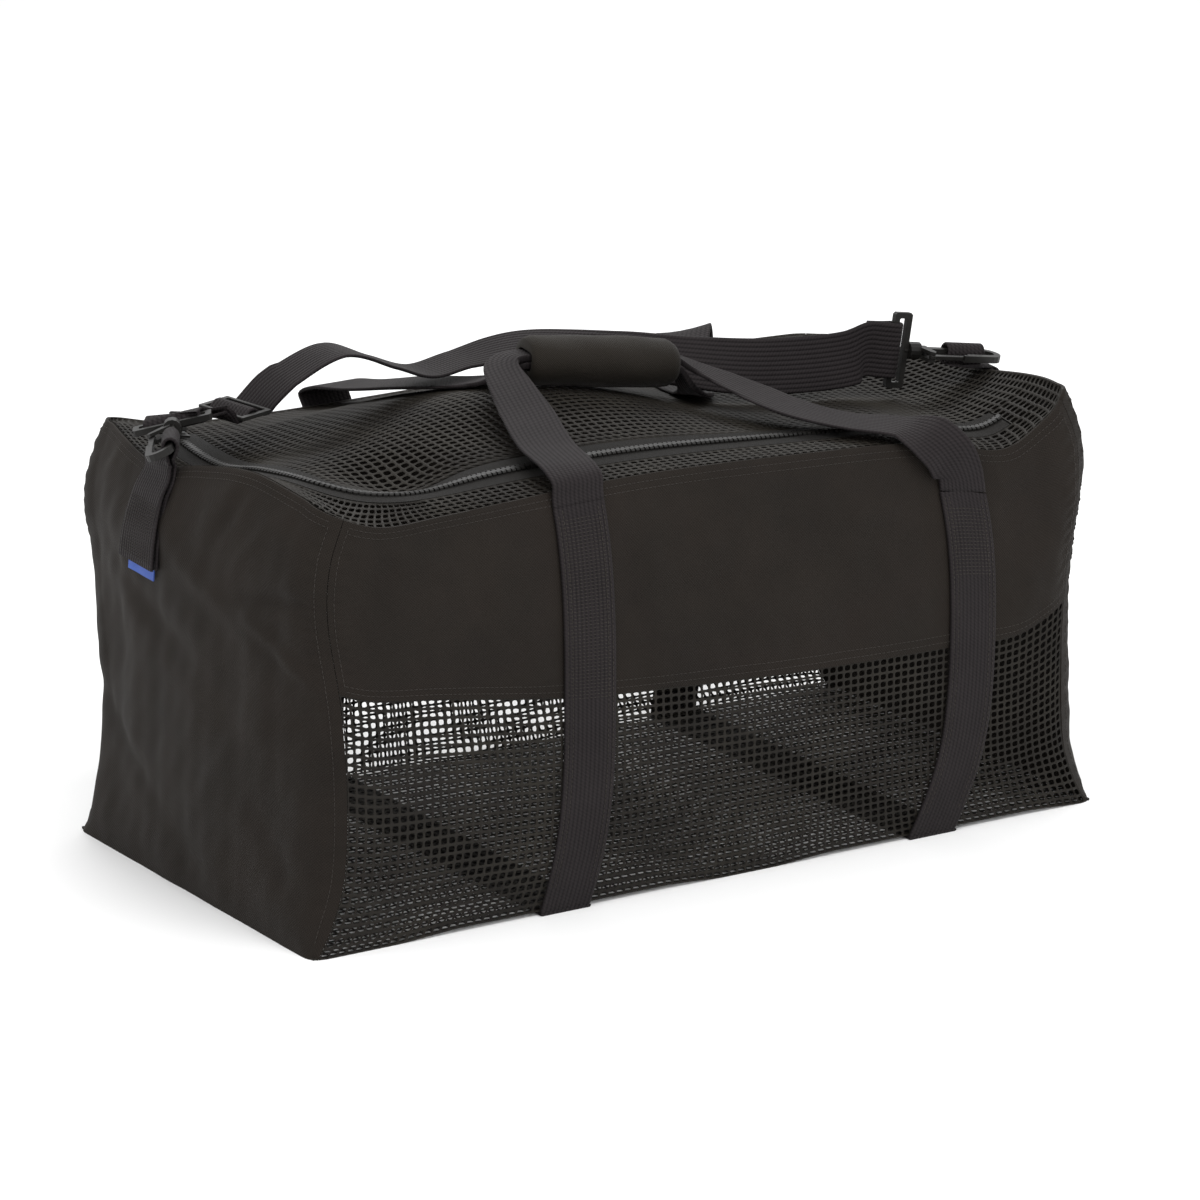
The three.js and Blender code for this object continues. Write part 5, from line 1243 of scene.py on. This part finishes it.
# Shoulder strap
# Narrower webbing of the same make. It is wrapped round both loops, stands on edge towards the right hook,
# arches up on the left and is threaded through a flat three-bar slide.
SHOULDER_WIDTH = 38.0
LOOP_BAR = 4.0
LOOP_DEPTH = 14.0
RUN_GAP = 0.35
TAB_PINCH = 1.3
GLIDE_BAR = 2.6
GLIDE_STEP = 11.0
FOLD_BACK = 22.0
hook_places = {
    "right": (place_at(0.39, -0.046, 1.024), unit(v3(0.983, -0.03, -0.16)), v3(0.16, 0, 0.98)),
    "left": (place_at(-0.458, 0.191, 1.044), unit(v3(-0.5, -0.865, 0.03)), v3(0.76, -0.6, 0.22)),
}
strap_route = [
    # along, across, rise, turn, tilt, steps
    (0.33, -0.046, 1.024, 20, 82, 2),
    (0.22, -0.015, 1.026, 4, 74, 2),
    (0.135, 0.04, 1.05, 0, 50, 2),
    (0.07, 0.105, 1.078, 0, 32, 2),
    (-0.03, 0.172, 1.106, 0, 14, 2),
    (-0.1, 0.2, 1.085, 0, 2, 2),
    (-0.15, 0.2, 1.072, 0, 0, 2),
    (-0.2, 0.192, 1.11, 0, 0, 2),
    (-0.262, 0.186, 1.158, 0, 0, 2),
    (-0.315, 0.2, 1.114, -3, 0, 2),
    (-0.334, 0.22, 1.078, -7, 0, 1),
]
glide_place = place_at(-0.371, 0.23, 1.042)
glide_wide = width_way(-9)
glide_along = width_way(-99, -4)
glide_up = unit(np.cross(glide_wide, glide_along))


def loop_frame(hand):
    """A loop's inner bar and its three directions: along the hook, along the bar, and out of the loop's plane"""
    place, along, long = hook_places[hand]
    long = unit(long - along * (long @ along))
    return place - along * (LOOP_DEPTH - LOOP_BAR) / 2, along, long, np.cross(along, long)


NEAR_BAR = LOOP_BAR / 2 * 2**0.5 + RUN_GAP + WEB_THICK / 2
CLOSED = (WEB_THICK + TAB_PINCH) / 2
strap_size = {"width": SHOULDER_WIDTH, "thick": WEB_THICK}


def strap_tail(hand, bar_way, side):
    bar, along, long, face = loop_frame(hand)
    away = unit(glide_place - bar) if hand == "left" else -along
    runs = [(FOLD_BACK, CLOSED), (FOLD_BACK * 0.45, CLOSED + 0.6), (LOOP_BAR * 0.5, NEAR_BAR)]
    held = {"wide": long * bar_way, "face": -face * side, "steps": 1, **strap_size}
    return [{"at": bar + away * run + face * side * out, **held} for run, out in runs]


def strap_wrap(hand, bar_way, out_side):
    bar, along, long, face = loop_frame(hand)
    turns = np.linspace(-0.5, 0.5, 7) * math.pi
    held = {"wide": long * bar_way, "steps": 1, **strap_size}
    return [{"at": bar + NEAR_BAR * (along * math.cos(t) + face * out_side * math.sin(t)), **held} for t in turns]


weave = (GLIDE_BAR + WEB_THICK) / 2 + RUN_GAP
past_bar = GLIDE_BAR / 2 + RUN_GAP
threaded = [
    (-GLIDE_STEP - past_bar, -1),
    (-GLIDE_STEP + past_bar, -1),
    (-past_bar, 1),
    (past_bar, 1),
    (GLIDE_STEP - past_bar, -1),
    (GLIDE_STEP + past_bar, -1),
]
rows = strap_tail("right", 1, -1) + strap_wrap("right", 1, 1) + strap_tail("right", 1, 1)[::-1]
for along, across, rise, turn, tilt, steps in strap_route:
    rows.append({"at": place_at(along, across, rise), "wide": width_way(turn, tilt), "steps": steps, **strap_size})
for run, way in threaded:
    at = glide_place + glide_along * run + glide_up * way * weave
    rows.append({"at": at, "wide": glide_wide, "face": -glide_up, "steps": 1, **strap_size})
rows += strap_tail("left", -1, 1) + strap_wrap("left", -1, -1) + strap_tail("left", -1, -1)[::-1]
# The lighter colour is worn tone and also the painted highlight on the rib crests
shoulder_webbing = webbing_material("shoulder_webbing", 0x151213, 0x272324, SHOULDER_WIDTH)
at, wide, face, width, thick = routed_band(rows)
band_piece("shoulder_webbing_strap", at, wide, face, width, thick, shoulder_webbing, "shoulder_strap")

# Tabs and label
# A loop of the carry webbing at the middle of each end, folded round the hook's arm and sewn down through both
# layers. A small plain woven label is caught under the left one.
HOOK_BAR = 4.6
TAB_TOP_WIDTH = 30.0
TAB_MIDDLE = 53.0
TAB_LOOP_RISE = 5.6
tab_routes = {
    # row, across, width
    "left": [(1.45, 0.085, 1), (1.62, 0.08, 0.98), (1.84, 0.072, 0.92), (1.96, 0.066, 0.84)],
    "right": [(1.5, -0.03, 1), (1.62, -0.031, 0.97), (1.84, -0.033, 0.88), (1.96, -0.035, 0.78)],
}
tab_necks = {
    # share, turn, width, drop
    "left": [(0.1, 184, 0.8, 0.016), (0.55, 197, 0.7, 0.005)],
    "right": [(0.08, 6, 0.72, 0.01), (0.5, 42, 0.66, 0.004)],
}
PAIR_OUT = (WEB_THICK + TAB_PINCH) / 2


def end_point(hand, across, row):
    first, way = (1, 1) if hand == "right" else (3, -1)
    height = float(height_of(seam_share(float(first)), np.asarray(row, float)))
    place = first + 0.5
    for _ in range(6):
        place += way * (BAG_DEPTH * across - wall_point(place, height)[1]) / BAG_DEPTH
    return wall_point(place, height), normal_of(wall_point, place, height)


for hand in ("left", "right"):
    at, along, _ = hook_places[hand]
    middle = at + along * TAB_MIDDLE
    outward = unit(np.cross(along, UP))
    rise = unit(np.cross(outward, along))
    ring_out = HOOK_BAR / 2 * 2**0.5 + RUN_GAP + WEB_THICK / 2
    pair = []
    for row, across, width in tab_routes[hand]:
        place, normal = end_point(hand, across, row)
        stand_off = (3 if row > 1.7 else 1) * STITCH_GAP
        place = place + normal * (stand_off + WEB_THICK + TAB_PINCH / 2)
        pair.append((place, normal, unit(np.cross(UP, normal)), width * TAB_WIDTH))
    foot = middle - rise * (TAB_LOOP_RISE + WEB_THICK)
    top = pair[-1][0]
    for neck, turn, width, drop in tab_necks[hand]:
        wide = width_way(turn)
        place = top + (foot - top) * neck
        place[2] = foot[2] - drop * WALL_HEIGHT
        pair.append((place, unit(np.cross(wide, UP)), wide, width * TAB_WIDTH))
    pair.append((foot, outward, along, TAB_TOP_WIDTH))
    frames = [(p + out * PAIR_OUT, wide, -out, width) for p, out, wide, width in pair]
    for turn in np.linspace(-0.12, 1.12, 9) * math.pi:
        radial = outward * math.cos(turn) + rise * math.sin(turn)
        ring = middle + outward * ring_out * math.cos(turn) + rise * TAB_LOOP_RISE * math.sin(turn)
        frames.append((ring, along, -radial, TAB_TOP_WIDTH))
    frames += [(p - out * PAIR_OUT, wide, out, width) for p, out, wide, width in pair[::-1]]
    places, wides, faces, widths = (np.array(column) for column in zip(*frames))
    curve = curve_through(places)
    fine = np.arange(0, len(places) - 1 + 1e-9, 0.2)
    whole = np.arange(len(places))
    blend = lambda values: np.stack([np.interp(fine, whole, values[:, k]) for k in range(3)], -1)
    band_piece(
        hand + "_tab_webbing",
        np.array([curve(t) for t in fine]),
        unit(blend(wides)),
        unit(blend(faces)),
        np.interp(fine, whole, widths),
        WEB_THICK,
        carry_webbing,
        hand + "_tab",
    )

# The left tab is darned to the panel over most of its sewn length
tab_rows = np.array(tab_routes["left"])
darned = []
for row in np.linspace(1.49, 1.8, 20):
    across, width = (np.interp(row, tab_rows[:, 0], tab_rows[:, k]) for k in (1, 2))
    place, normal = end_point("left", across, row)
    wide = unit(np.cross(UP, normal))
    lift = np.interp(row, [1.62, 1.84], [1, 3]) * STITCH_GAP + 2 * WEB_THICK + TAB_PINCH
    for share in np.linspace(-0.41, 0.41, 13):
        at = place + normal * lift + wide * share * width * TAB_WIDTH
        darned.append((at, wide, np.cross(normal, wide), normal))
places, *ways = (np.array(column) for column in zip(*darned))
sizes = (DARN_LONG / 2, STITCH_WIDE / 2, STITCH_HIGH)
sewn("left_tab_stitches", [repeated(places, ways, STITCH, STITCH_FACES, sizes)])

# The lighter blue is worn tone and also the painted highlight on the thread crests
label_satin = woven("label_satin", 0x27408C, 0x4464B4, 0.0009, 0.42, 0.05, 0.25)
LABEL_WIDTH, LABEL_DROP, LABEL_THICK = 37.0, 8.0, 0.7
place, normal = end_point("left", tab_routes["left"][0][1], tab_routes["left"][0][0])
wide = unit(np.cross(UP, normal))
down = np.cross(wide, normal)
u, v = np.meshgrid(np.linspace(-0.5, 0.5, 24), np.linspace(1, 0, 8), indexing="ij")
cloth = place + down * SEAM_GAP + wide * (u * LABEL_WIDTH)[..., None] + down * (v * LABEL_DROP)[..., None]
curl = 0.5 * v**2 + 0.15 * np.sin(9 * u)
cloth = cloth + normal * curl[..., None]
points, quads = shell(cloth, np.broadcast_to(normal, cloth.shape), STITCH_GAP, STITCH_GAP + LABEL_THICK)
label = make_piece("tab_label_satin", points, [quads], flat_places(cloth), label_satin)
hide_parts("tab_label")
